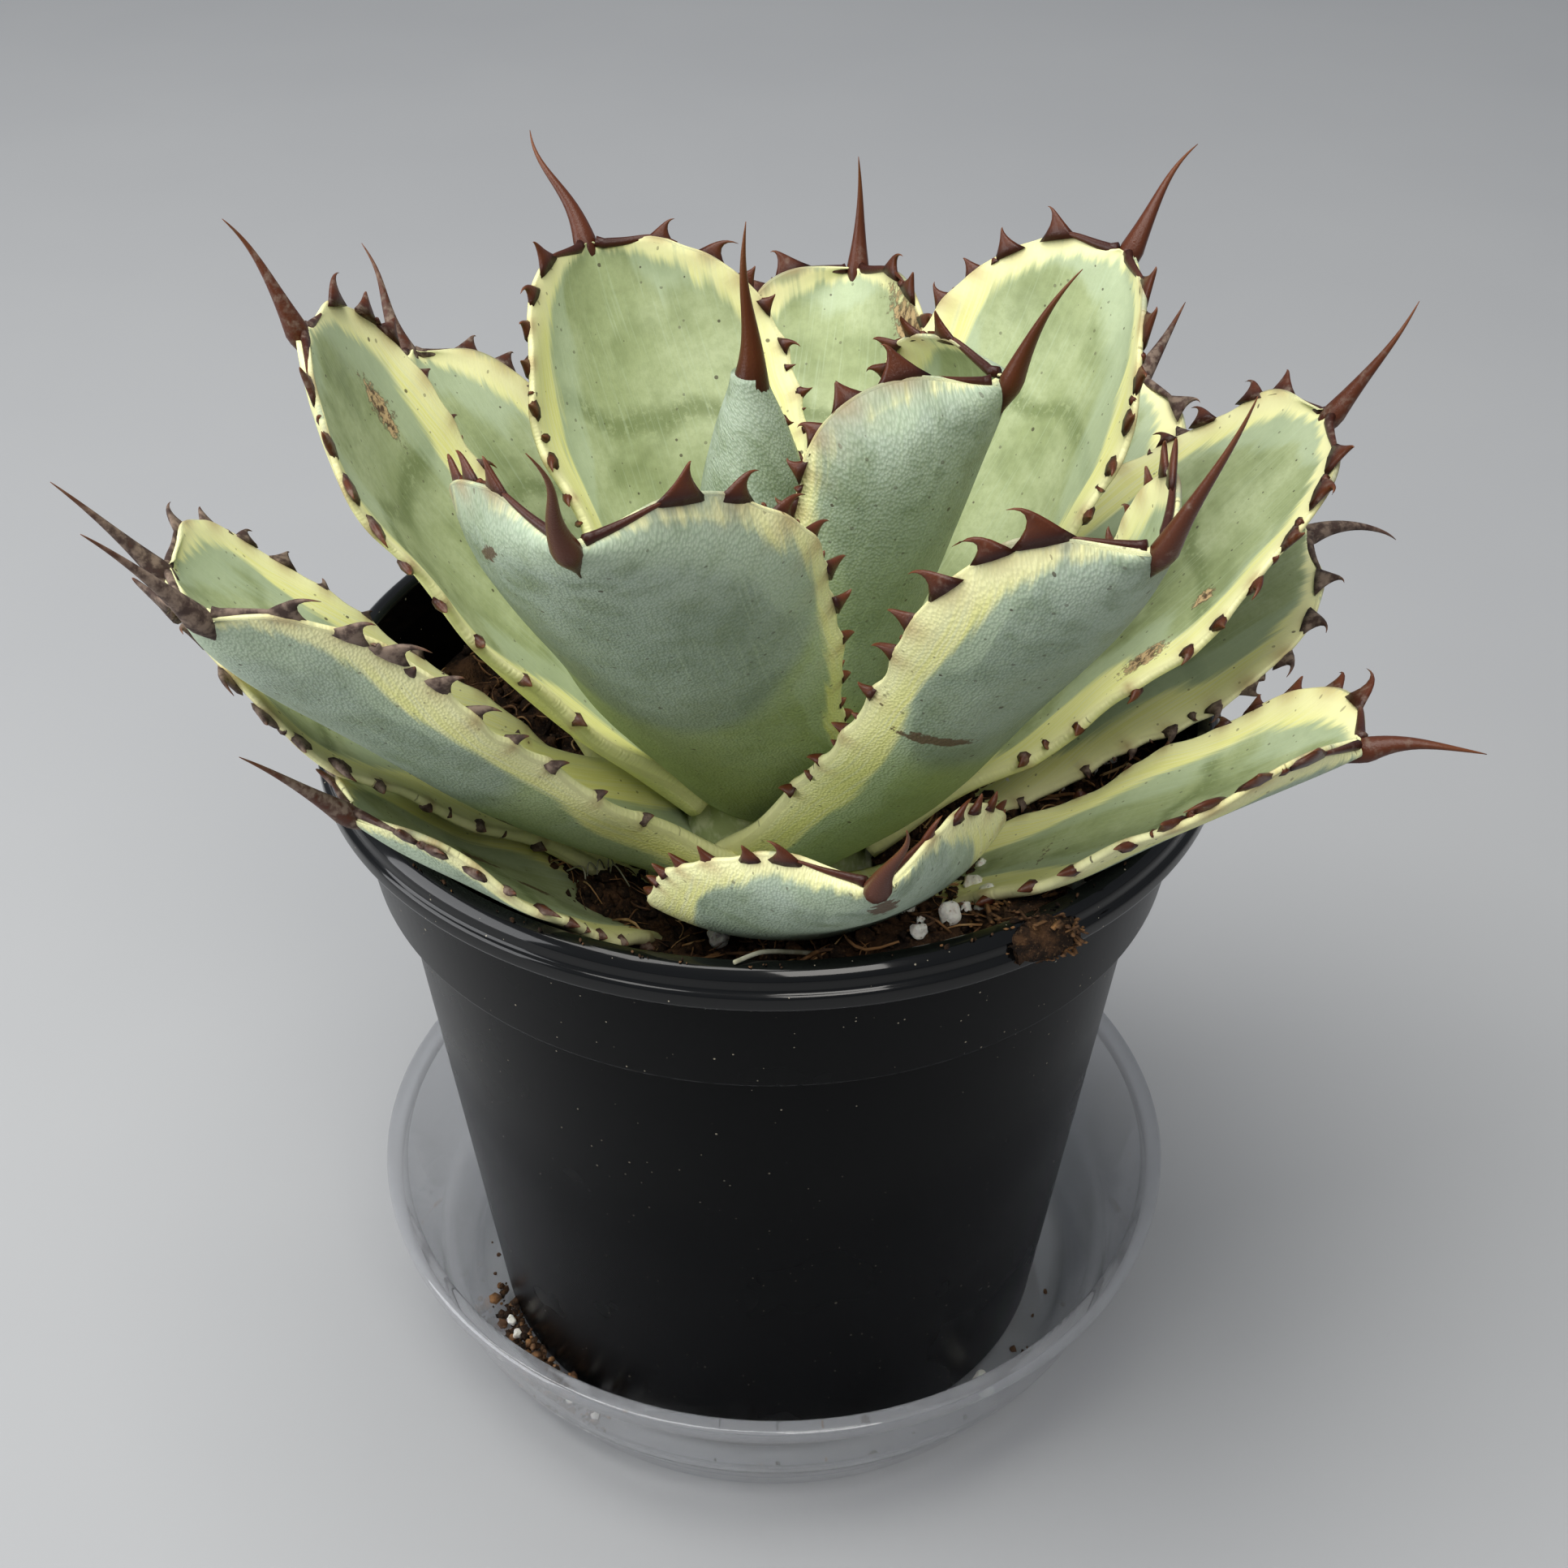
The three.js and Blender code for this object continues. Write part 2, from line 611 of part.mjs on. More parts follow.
function budSolid(grow) {
  const base = vec(...bud.base);
  const tip = vec(...bud.tip);
  const spineTip = vec(...bud.spineTip);
  const ring = (centre, radius) =>
    Array.from({ length: sides.bud }, (_, i) => {
      const angle = (i / sides.bud) * 2 * Math.PI;
      const reach = radius + grow;
      return vec(centre.x + reach * Math.cos(angle), centre.y + reach * Math.sin(angle), centre.z);
    });
  const rings = bud.profile.map(([share, wide]) => ring(base.clone().lerp(tip, share), bud.belly * wide));
  for (const point of rings[0]) point.z -= grow;
  rings.push(ring(tip.clone().lerp(spineTip, bud.spineMiddle), bud.spineRadius));
  return loft(rings, spineTip);
}

const solids = new Map();
solids.set("saucer", { solid: saucerSolid(), finish: colours.clear });
solids.set("pot", { solid: potSolid(), finish: colours.black });
solids.set("stem", { solid: stemSolid(0), finish: colours.stem });
solids.set("bud", { solid: budSolid(0), finish: colours.leaf });

// Each leaf is cut by what lies inside it, grown by the cutting margin, and loses any tooth that would cross
// another leaf or the pot.
const cutters = [stemSolid(cutMargin), budSolid(cutMargin)];
const obstacles = [...cutters, solids.get("pot").solid];
const bare = leaves.map((leaf) => leafSolid(leaf, noTeeth, cutMargin));
leaves.forEach((leaf, i) => {
  const surface = bladeSurface(leaf, midrib(leaf), 0);
  const others = [...bare.filter((_, k) => k !== i), ...obstacles];
  const toothRows = {};
  for (const margin of [-1, 1]) {
    const places = [...toothPlaces(i, margin)].filter(([, place]) => {
      const tooth = toothSolid(surface, margin, place, cutMargin);
      return !others.some((other) => meet(tooth, other));
    });
    toothRows[margin] = new Map(places);
  }
  let whole = leafSolid(leaf, toothRows, 0);
  for (const cutter of cutters) if (meet(whole, cutter)) whole = largestBody(whole.subtract(cutter));
  solids.set(leaf.name, { solid: whole, finish: colours.leaf });
  cutters.push(leafSolid(leaf, toothRows, cutMargin));
});
const lowLeaves = cutters.filter((cutter) => cutter.boundingBox().min[2] < soil.level + soil.pitLip);
solids.set("soil", { solid: soilSolid(lowLeaves), finish: colours.earth });

const part = new THREE.Group();
for (const [name, { solid, finish }] of solids) {
  const mesh = new THREE.Mesh(geometryOf(solid), new THREE.MeshStandardMaterial(finish));
  mesh.name = name;
  part.add(mesh);
}

export default part;
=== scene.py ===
import math

import bmesh
import bpy
import numpy as np
from mathutils import Matrix, Vector, noise


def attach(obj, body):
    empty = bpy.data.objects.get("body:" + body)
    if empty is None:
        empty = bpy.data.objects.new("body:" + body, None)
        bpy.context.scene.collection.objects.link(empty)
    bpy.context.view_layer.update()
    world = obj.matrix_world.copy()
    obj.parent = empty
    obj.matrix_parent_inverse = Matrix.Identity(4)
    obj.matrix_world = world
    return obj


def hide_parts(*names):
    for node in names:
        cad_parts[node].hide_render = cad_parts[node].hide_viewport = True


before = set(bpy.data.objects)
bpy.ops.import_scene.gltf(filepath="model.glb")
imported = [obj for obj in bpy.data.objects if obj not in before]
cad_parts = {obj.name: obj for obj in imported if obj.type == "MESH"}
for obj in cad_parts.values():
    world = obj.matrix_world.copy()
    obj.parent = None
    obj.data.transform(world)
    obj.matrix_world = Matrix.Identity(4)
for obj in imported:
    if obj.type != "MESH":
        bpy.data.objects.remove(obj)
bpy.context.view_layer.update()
print("frame loaded")

mm = 0.001
fullTurn = 2 * math.pi

# Blade, teeth and spine repeat the solid model's own rules, in millimetres
plantAxis = (0, -15)
stemForm = {
    "top": 141, "bottom": 90, "topRadius": 7, "flare": 0.33, "rootRadius": 12, "shoulder": 2, "toe": 8,
    "ridge": 0.25, "ridgeTurn": 1.9, "rows": 24, "sides": 64,
}
bladeForm = {
    "thickness": 1.8, "rootExtra": 3.6, "thinning": 1.6, "edge": 0.45, "tipBelly": 2.2, "tipRound": 0.62,
    "minHalfWidth": 1.6, "minCup": 0.02, "steps": 48, "rootSink": 1, "stations": 12, "crowding": 1.5,
    "rows": 96, "columns": 23, "tipCrowding": 1.3, "marginTurns": (45, 90, 135), "widestInset": 0.5,
    "marginSteps": 241, "marginCrowding": 1.7, "hollow": (0.06, 0.6), "scallopReach": 0.3, "scallopRise": 2,
    "ripple": 0.55, "rippleTurns": (11, 3.5, 2.1), "flutter": 0.7, "flutterRise": 4,
    "flutterTurns": (21, 3),
    "marginSkip": 3,
}
toothForm = {
    "firstGap": 2, "lastGap": 10, "small": 1.3, "large": 6.0, "growth": 1.5, "sizeRange": (0.8, 1.15),
    "shift": 0.3, "hook": (-0.675, 0.225), "mound": 0.4, "moundReach": 0.95, "moundLeast": 0.6,
    "stainFade": 4.5, "reach": 1.15, "curl": 1.3, "lean": 0.85, "leanSink": 0.5, "leanBack": 0.25,
    "sink": 0.9, "foot": 0.58, "footFade": 3.4, "stalk": 0.42, "stalkFade": 0.8, "point": 0.03,
    "bulge": 0.15, "flatFade": 0.9, "flatPoint": 0.05, "flatExcess": 0.4, "rows": 8, "sides": 8,
    "between": 0.3, "betweenShare": 0.4, "betweenPlace": (0.35, 0.65),
}
spineForm = {
    "halfWidth": 2.0, "halfThickness": 1.75, "decurrent": 6.5, "bend": 0.42, "depth": 1.6, "bendDepth": 0.6,
    "start": 0.05, "flare": 0.55, "flareFade": 3, "fade": 0.85, "point": 0.06, "sway": 3.5, "rows": 22,
    "sides": 12,
}
hornyRimForm = {
    "length": 13, "lengthRange": (0.6, 1.25), "rows": 14, "thinEnd": 0.25, "lift": 0.1, "overlap": 0.25,
    "depth": 0.95, "tones": (0.35, 0.3), "sides": 10,
}
# Seeds: how far apart the leaves, a leaf's two margins, and a tooth's size, shift and hook are drawn
placeSeeds = {"leaf": 100, "margin": 50, "shift": 15, "hook": 30}
toothSeeds = {"leaf": 40, "margin": 20}
rimSeed = 7

# A leaf's driving values in millimetres and degrees, in the order of leafKeys: where two are together, they
# are the root's and the tip's, and the spine's three are its length, rise and turn
leafKeys = (
    "azimuth", "height", "rise", "bend", "twist", "length", "width", "widestAt", "root", "cup", "spine",
)
leafRows = {
    "leaf_01": (338, 137, (62, 75), 0, 0, 75, 28, 0.75, 16, (55, 105), (22, 60, -10)),
    "leaf_02": (118, 133, (46, 57), 5, 5, 84, 27, 0.65, 18, (65, 45), (23, 35, 0)),
    "leaf_03": (246, 132, (48, 56), 10, 5, 101, 29, 0.7, 19, (35, 70), (23, 55, 0)),
    "leaf_04": (36, 128, (40, 66), -5, -5, 96, 29, 0.65, 17, (35, 35), (22, 35, 15)),
    "leaf_05": (174, 126, (34, 74), 5, 5, 100, 26, 0.8, 11, (50, 10), (20, 60, 5)),
    "leaf_06": (313, 122, (44, 62), -10, 5, 107, 24, 0.75, 21, (45, 70), (27, 65, 10)),
    "leaf_07": (80, 123, (25, 49), 0, -25, 95, 27, 0.6, 17, (25, 55), (20, 80, 5)),
    "leaf_08": (214, 119, (30, 58), 10, 25, 111, 21, 0.65, 17, (55, 25), (22, 50, 0)),
    "leaf_09": (16.5, 117, (31.5, 49), -4.5, -10.5, 102.5, 28.5, 0.65, 11.5, (22.5, 11.5), (22, 55, 0)),
    "leaf_10": (134, 117, (27, 44), 0, 25, 96, 26, 0.6, 17, (25, 20), (21, 47, -5)),
    "leaf_11": (50, 112, (31.5, 34.5), -7, 11, 98.5, 22.5, 0.65, 15, (13.5, 30), (20, 20, 15)),
    "leaf_12": (281.5, 116, (22, 55.5), 1, 4, 71.5, 28, 0.6, 19, (13, 63.5), (22, 55, 0)),
    "leaf_13": (29.5, 106.5, (33, 30.5), -23.5, 7, 94.5, 27.5, 0.75, 13, (2, 12.5), (22, -20, 20)),
    "leaf_14": (183, 111, (26, 54), 10, 5, 99, 28, 0.8, 11, (30, 5), (22, 50, 5)),
    "leaf_15": (108.5, 107, (28.5, 28), -1, 0, 88.5, 26, 0.6, 16, (17.5, 28), (22, 45, 0)),
    "leaf_16": (329, 109, (32.5, 38), 14.5, -16, 94, 23, 0.73, 9, (2.5, 30.5), (18, -3, 10)),
    "leaf_17": (66.5, 101, (28, 34.5), -2, 3.5, 90, 25, 0.6, 15.5, (8.5, 35.5), (22, 45, 0)),
    "leaf_18": (218, 106, (31, 48), -11, 14, 72.5, 22, 0.65, 10, (8.5, 14.5), (22, 45, 10)),
}
# The age, which weathers the horn from red-brown to grey, and the cream margin's width on the inner and the
# outer face
leafLooks = {
    "leaf_01": (0.0, (5.5, 3.8)), "leaf_02": (0.2, (7.0, 5.8)), "leaf_03": (0.0, (5.5, 2.9)),
    "leaf_04": (0.15, (7.0, 4.8)), "leaf_05": (0.45, (6.2, 6.7)), "leaf_06": (0.3, (4.7, 5.4)),
    "leaf_07": (0.3, (6.2, 5.8)), "leaf_08": (0.95, (7.0, 5.2)), "leaf_09": (0.4, (7.0, 5.8)),
    "leaf_10": (0.6, (6.2, 5.8)), "leaf_11": (0.7, (7.0, 5.8)), "leaf_12": (0.2, (7.8, 7.7)),
    "leaf_13": (0.8, (6.2, 5.8)), "leaf_14": (0.8, (7.0, 6.7)), "leaf_15": (0.6, (7.0, 5.8)),
    "leaf_16": (0.35, (7.0, 6.7)), "leaf_17": (0.7, (7.0, 5.8)), "leaf_18": (0.6, (6.2, 5.8)),
}
leafForms = {name: dict(zip(leafKeys, row)) for name, row in leafRows.items()}


# A scar: its face and kind, its share of the length, its place across, its half-length and its half-width
leafScars = {
    "leaf_03": [("out", "dark", 0.88, -0.62, 3.2, 0.4), ("out", "dark", 0.84, -0.5, 2.6, 0.35),
                ("out", "dark", 0.8, -0.4, 1.5, 0.8)],
    "leaf_05": [("in", "pale", 0.8, -0.45, 6, 2.2)],
    "leaf_06": [("out", "dark", 0.57, -0.55, 1.3, 7)],
    "leaf_07": [("in", "pale", 0.8, -0.8, 12, 5)],
    "leaf_08": [("out", "dark", 0.62, -0.45, 3.5, 0.45), ("out", "dark", 0.5, -0.3, 2.5, 0.5),
                ("out", "dark", 0.4, 0.1, 3, 0.6)],
    "leaf_09": [("in", "pale", 0.55, -0.75, 5, 2), ("in", "pale", 0.68, -0.6, 2.5, 1.5)],
    "leaf_12": [("out", "dark", 0.9, 0.1, 4, 2)],
    "leaf_16": [("in", "dark", 0.42, 0.0, 0.6, 13)],
    "leaf_18": [("in", "dark", 0.62, -0.2, 7, 1.6), ("in", "dark", 0.5, 0.1, 5, 1.2)],
}
scarStrength = 1.2

# Leaves whose teeth are smaller than the others', as a share of the usual size
smallToothed = {"leaf_12": 0.62, "leaf_18": 0.7, "leaf_02": 0.8}

drawStride = 12.9898
drawScale = 43758.5453


# A repeatable random number from 0 to 1. What is added to a seed only picks another draw.
def draw(n):
    x = math.sin(n * drawStride) * drawScale
    return x - math.floor(x)


def mix(a, b, share):
    return a + (b - a) * share


# A draw between two limits, crowded towards the first one by the power
def drawIn(n, limits, power=1):
    return mix(*limits, draw(n) ** power)


# One seed for each thing that is scattered
def seedRow(count, first, gap):
    return [first + i * gap for i in range(count)]


def smoothStep(x):
    x = np.clip(x, 0, 1)
    return x * x * (3 - 2 * x)


def unit(v):
    return v / np.linalg.norm(v, axis=-1, keepdims=True)


def dot(a, b):
    return np.sum(a * b, axis=-1, keepdims=True)


def direction(rise, heading):
    return np.stack([np.cos(rise) * np.cos(heading), np.cos(rise) * np.sin(heading), np.sin(rise)], -1)


# A curve that leaves its start and reaches its end along the lines to its middle point
def curve(start, middle, end, t):
    return start * (1 - t) ** 2 + middle * 2 * t * (1 - t) + end * t * t


# A shape collects points, faces and the values that its materials read at each point
def newShape(*channels):
    return {"points": [], "faces": [], "slots": [], "count": 0, "channels": {c: [] for c in channels}}


def addPart(shape, points, faceSets, slot=0, **values):
    points = np.reshape(np.asarray(points, float), (-1, 3))
    for faces in faceSets:
        shape["faces"].extend((np.asarray(faces) + shape["count"]).tolist())
        shape["slots"].extend([slot] * len(faces))
    for name, rows in shape["channels"].items():
        rows.append(np.broadcast_to(np.asarray(values.get(name, (0, 0, 0)), float), (len(points), 3)))
    shape["points"].append(points)
    shape["count"] += len(points)


def gridFaces(rows, columns):
    i = np.arange(rows - 1)[:, None] * columns
    j = np.arange(columns)[None, :]
    k = (j + 1) % columns
    return np.stack([i + j, i + k, i + columns + k, i + columns + j], -1).reshape(-1, 4)


# Rings joined into a closed body, each ring counter-clockwise seen from the end that it is going to
def addLoft(shape, rings, slot=0, **values):
    rows, columns = rings.shape[:2]
    start = np.arange(columns)[::-1][None, :]
    end = (rows - 1) * columns + np.arange(columns)[None, :]
    addPart(shape, rings, [gridFaces(rows, columns), start, end], slot, **values)


def addTube(shape, path, wide, thick, hint, sides, slot=0, **values):
    path = np.asarray(path, float)
    ahead = unit(np.gradient(path, axis=0))
    hint = np.broadcast_to(np.asarray(hint, float), path.shape)
    side = unit(hint - ahead * dot(hint, ahead))
    up = np.cross(ahead, side)
    angle = np.arange(sides) / sides * fullTurn
    wide = np.broadcast_to(wide, len(path))[:, None, None]
    thick = np.broadcast_to(thick, len(path))[:, None, None]
    across = side[:, None] * np.cos(angle)[None, :, None] * wide
    rings = path[:, None] + across + up[:, None] * np.sin(angle)[None, :, None] * thick
    spread = {name: np.repeat(np.broadcast_to(v, path.shape), sides, 0) for name, v in values.items()}
    addLoft(shape, rings, slot, **spread)


def newMesh(name, shape):
    mesh = bpy.data.meshes.new(name)
    mesh.from_pydata((np.vstack(shape["points"]) * mm).tolist(), [], shape["faces"])
    made = bpy.data.objects.new(name, mesh)
    bpy.context.scene.collection.objects.link(made)
    return made, mesh


def smooth(mesh):
    mesh.polygons.foreach_set("use_smooth", [True] * len(mesh.polygons))


def makePiece(name, shape, materials, cadNode=None):
    piece, mesh = newMesh(name, shape)
    for material in materials:
        mesh.materials.append(material)
    mesh.polygons.foreach_set("material_index", shape["slots"])
    smooth(mesh)
    for channel, rows in shape["channels"].items():
        layer = mesh.attributes.new(channel, "FLOAT_VECTOR", "POINT")
        layer.data.foreach_set("vector", np.vstack(rows).ravel())
    mesh.update()
    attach(piece, "root")
    if cadNode:
        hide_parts(cadNode)
    return piece


# Shader nodes: an input is a value or another node's output
def node(tree, kind, settings=None, inputs=None):
    made = tree.nodes.new("ShaderNode" + kind)
    for key, value in (settings or {}).items():
        setattr(made, key, value)
    for key, value in (inputs or {}).items():
        if isinstance(value, bpy.types.NodeSocket):
            tree.links.new(value, made.inputs[key])
        else:
            made.inputs[key].default_value = value
    return made


# The helpers below put their nodes in the tree of the output that they read
def feed(value, socket):
    value.id_data.links.new(value, socket)


def calc(operation, a, b=0.0):
    tree = (a if isinstance(a, bpy.types.NodeSocket) else b).id_data
    return node(tree, "Math", {"operation": operation}, {0: a, 1: b}).outputs[0]


def plus(a, b):
    return calc("ADD", a, b)


def minus(a, b):
    return calc("SUBTRACT", a, b)


def times(first, *others):
    for other in others:
        first = calc("MULTIPLY", first, other)
    return first


# A smooth step: where it starts and ends, and then what it gives there if that isn't 0 and 1
def step(value, edges):
    low, high, start, end = (*edges, 0.0, 1.0)[:4]
    inputs = {"Value": value, "From Min": low, "From Max": high, "To Min": start, "To Max": end}
    return node(value.id_data, "MapRange", {"interpolation_type": "SMOOTHSTEP"}, inputs).outputs["Result"]


def blend(amount, a, b, kind="MIX"):
    a = (*a, 1) if isinstance(a, tuple) else a
    b = (*b, 1) if isinstance(b, tuple) else b
    settings = {"data_type": "RGBA", "blend_type": kind}
    return node(amount.id_data, "Mix", settings, {0: amount, 6: a, 7: b}).outputs[2]


def stretched(vector, scale):
    return node(vector.id_data, "Mapping", None, {"Vector": vector, "Scale": scale}).outputs[0]


def cloud(vector, scale=1.0, detail=3.0, roughness=0.55, stretch=None, flat=False):
    vector = stretched(vector, stretch) if stretch else vector
    inputs = {"Vector": vector, "Scale": scale, "Detail": detail, "Roughness": roughness}
    settings = {"noise_dimensions": "2D" if flat else "3D"}
    return node(vector.id_data, "TexNoise", settings, inputs).outputs[0]


def read(tree, channel):
    found = node(tree, "Attribute", {"attribute_name": channel}).outputs["Vector"]
    return node(tree, "SeparateXYZ", None, {0: found}).outputs


# The object's own coordinates in millimetres
def place(tree):
    return stretched(node(tree, "TexCoord").outputs["Object"], (1 / mm, 1 / mm, 1 / mm))


def relief(shader, height, strength, distance):
    inputs = {"Height": height, "Strength": strength, "Distance": distance}
    feed(node(height.id_data, "Bump", None, inputs).outputs[0], shader["Normal"])


def newGroup(name, *inputs):
    tree = bpy.data.node_groups.new(name, "ShaderNodeTree")
    tree.interface.new_socket("Vector", in_out="INPUT", socket_type="NodeSocketVector")
    for label in inputs:
        tree.interface.new_socket(label, in_out="INPUT", socket_type="NodeSocketFloat")
    tree.interface.new_socket("Mask", in_out="OUTPUT", socket_type="NodeSocketFloat")
    return tree, tree.nodes.new("NodeGroupInput").outputs, tree.nodes.new("NodeGroupOutput").inputs


def maskFrom(group, vector, settings):
    inputs = {"Vector": vector, **settings}
    return node(vector.id_data, "Group", {"node_tree": group}, inputs).outputs[0]


def newMaterial(name, settings):
    material = bpy.data.materials.new(name)
    material.use_nodes = True
    shader = material.node_tree.nodes["Principled BSDF"]
    for key, value in settings.items():
        shader.inputs[key].default_value = value
    return material, material.node_tree, shader.inputs


speckForm = {"leastSize": 0.4, "edge": (0.7, 1.0, 1.0, 0.0)}
patchForm = {"detail": 3.0, "roughness": 0.6}


# Small round marks scattered over a surface: Share is how many cells hold one, and Size its radius
def speckGroup(name, dimensions):
    tree, given, out = newGroup(name, "Scale", "Share", "Size")
    inputs = {"Vector": given["Vector"], "Scale": given["Scale"]}
    cells = node(tree, "TexVoronoi", {"voronoi_dimensions": dimensions}, inputs).outputs
    tone = node(tree, "SeparateColor", None, {0: cells["Color"]}).outputs
    chosen = calc("LESS_THAN", tone[0], given["Share"])
    radius = times(given["Size"], plus(tone[1], speckForm["leastSize"]))
    spot = step(calc("DIVIDE", cells["Distance"], radius), speckForm["edge"])
    feed(times(chosen, spot), out["Mask"])
    return tree


# Soft patches: noise between two levels
def patchGroup(name, flat):
    tree, given, out = newGroup(name, "Scale", "Low", "High")
    level = cloud(given["Vector"], given["Scale"], flat=flat, **patchForm)
    feed(step(level, (given["Low"], given["High"])), out["Mask"])
    return tree


specks = speckGroup("specks", "3D")
skinSpecks = speckGroup("skinSpecks", "2D")
patches = patchGroup("softPatches", False)
skinPatches = patchGroup("skinPatches", True)
print("shared effects ready")


# Colours, then the lengths in millimetres, steps, noises and shares that lay them out
leafSkinLook = {
    "innerGreen": (0.32, 0.375, 0.185), "innerPale": (0.42, 0.48, 0.27), "smudge": (0.17, 0.215, 0.085),
    "outerGreen": (0.225, 0.285, 0.205), "outerPale": (0.30, 0.365, 0.275), "rootGreen": (0.40, 0.48, 0.20),
    "paleBand": (0.47, 0.56, 0.39), "cream": (0.86, 0.84, 0.46), "butter": (0.78, 0.77, 0.30),
    "bloom": (0.52, 0.60, 0.50), "speck": (0.05, 0.035, 0.02), "scab": (0.56, 0.40, 0.21),
    # pit: the colour of the painted shade between the pimples
    "darkScab": (0.10, 0.055, 0.03), "stain": (0.30, 0.15, 0.05), "pit": (0.70, 0.76, 0.70),
    "specular": 0.35, "seedShift": (31.0, 53.0), "faceShift": 400.0, "middle": 0.5,
    "streak": {"stretch": (0.55, 0.035, 1), "roughness": 0.65},
    "fineStreak": {"stretch": (2.2, 0.05, 1), "detail": 2.0, "roughness": 0.6},
    "slow": {"stretch": (0.05, 0.028, 1), "detail": 1.0, "roughness": 0.5},
    "grain": {"scale": 0.7, "detail": 4.0, "roughness": 0.7},
    "bandLeast": 0.25, "bandSway": 1.55, "bandAtTip": (2.0, 26.0, 0.3, 1.0),
    "bandBelow": (30.0, 75.0, 1.0, 1.3),
    "fray": 3.6, "creamEdge": (-1.1, 0.7, 1.0, 0.0), "paleWhere": (0.35, 0.62), "paleWidth": 5.5,
    "paleEdge": (-1.6, 1.4, 1.0, 0.0), "paleShare": 0.5, "soft": {"Scale": 0.05, "Low": 0.35, "High": 0.65},
    "coverRound": 0.03, "coverSway": 9.0, "coverEdge": (58.0, 66.0, 0.0, 0.75),
    "smudges": {"Scale": 0.085, "Low": 0.42, "High": 0.82}, "smudgeOuter": 0.35, "smudgeInner": 0.35,
    "printSlant": 0.12, "printSway": 14.0, "printPlace": 37.0, "printEdge": (0.3, 3.2, 0.85, 0.0),
    "printGrain": (0.3, 0.5, 0.4, 1.0), "grainShade": (0.35, 0.68, 0.0, 0.22),
    "cloudy": {"Scale": 0.16, "Low": 0.3, "High": 0.62}, "bloomFade": (3.0, 30.0, 0.5, 0.12),
    "butterFrom": (0.0, 5.0), "creamStreaks": (0.42, 0.62, 0.0, 0.7), "ribbons": (0.55, 0.72, 0.0, 0.22),
    "ribbonsFrom": (1.0, 3.0), "pimpleStretch": (1.0, 0.72, 1), "pimpleScale": 2.5,
    "pimpleEdge": (0.2, 0.65),
    # The pimples' painted shade: its strength, how much less of it on the cream, and its least amount
    "pimpleShade": 0.5, "lessShadeOnCream": 0.6, "leastShade": 0.06,
    "dark": {"Scale": 0.3, "Share": 0.06, "Size": 0.09}, "darkShare": 0.8,
    "fleck": {"Scale": 1.0, "Share": 0.03, "Size": 0.25}, "fleckShare": 0.5, "lumpy": 1.3,
    "scabEdge": (0.5, 0.62), "scabRim": (0.36, 0.5, 0.0, 0.7), "scabGrain": (0.4, 0.6),
    "darkEdge": (0.5, 0.66, 0.0, 0.9), "stainShare": 0.55, "pimpleHeight": (0.8, 0.12),
    "streakHeight": 0.45,
    "scabHeight": 0.6, "relief": (0.45, 0.0003), "roughness": 0.45, "cloudyRoughness": 0.16,
    "bloomRoughness": 0.2,
}


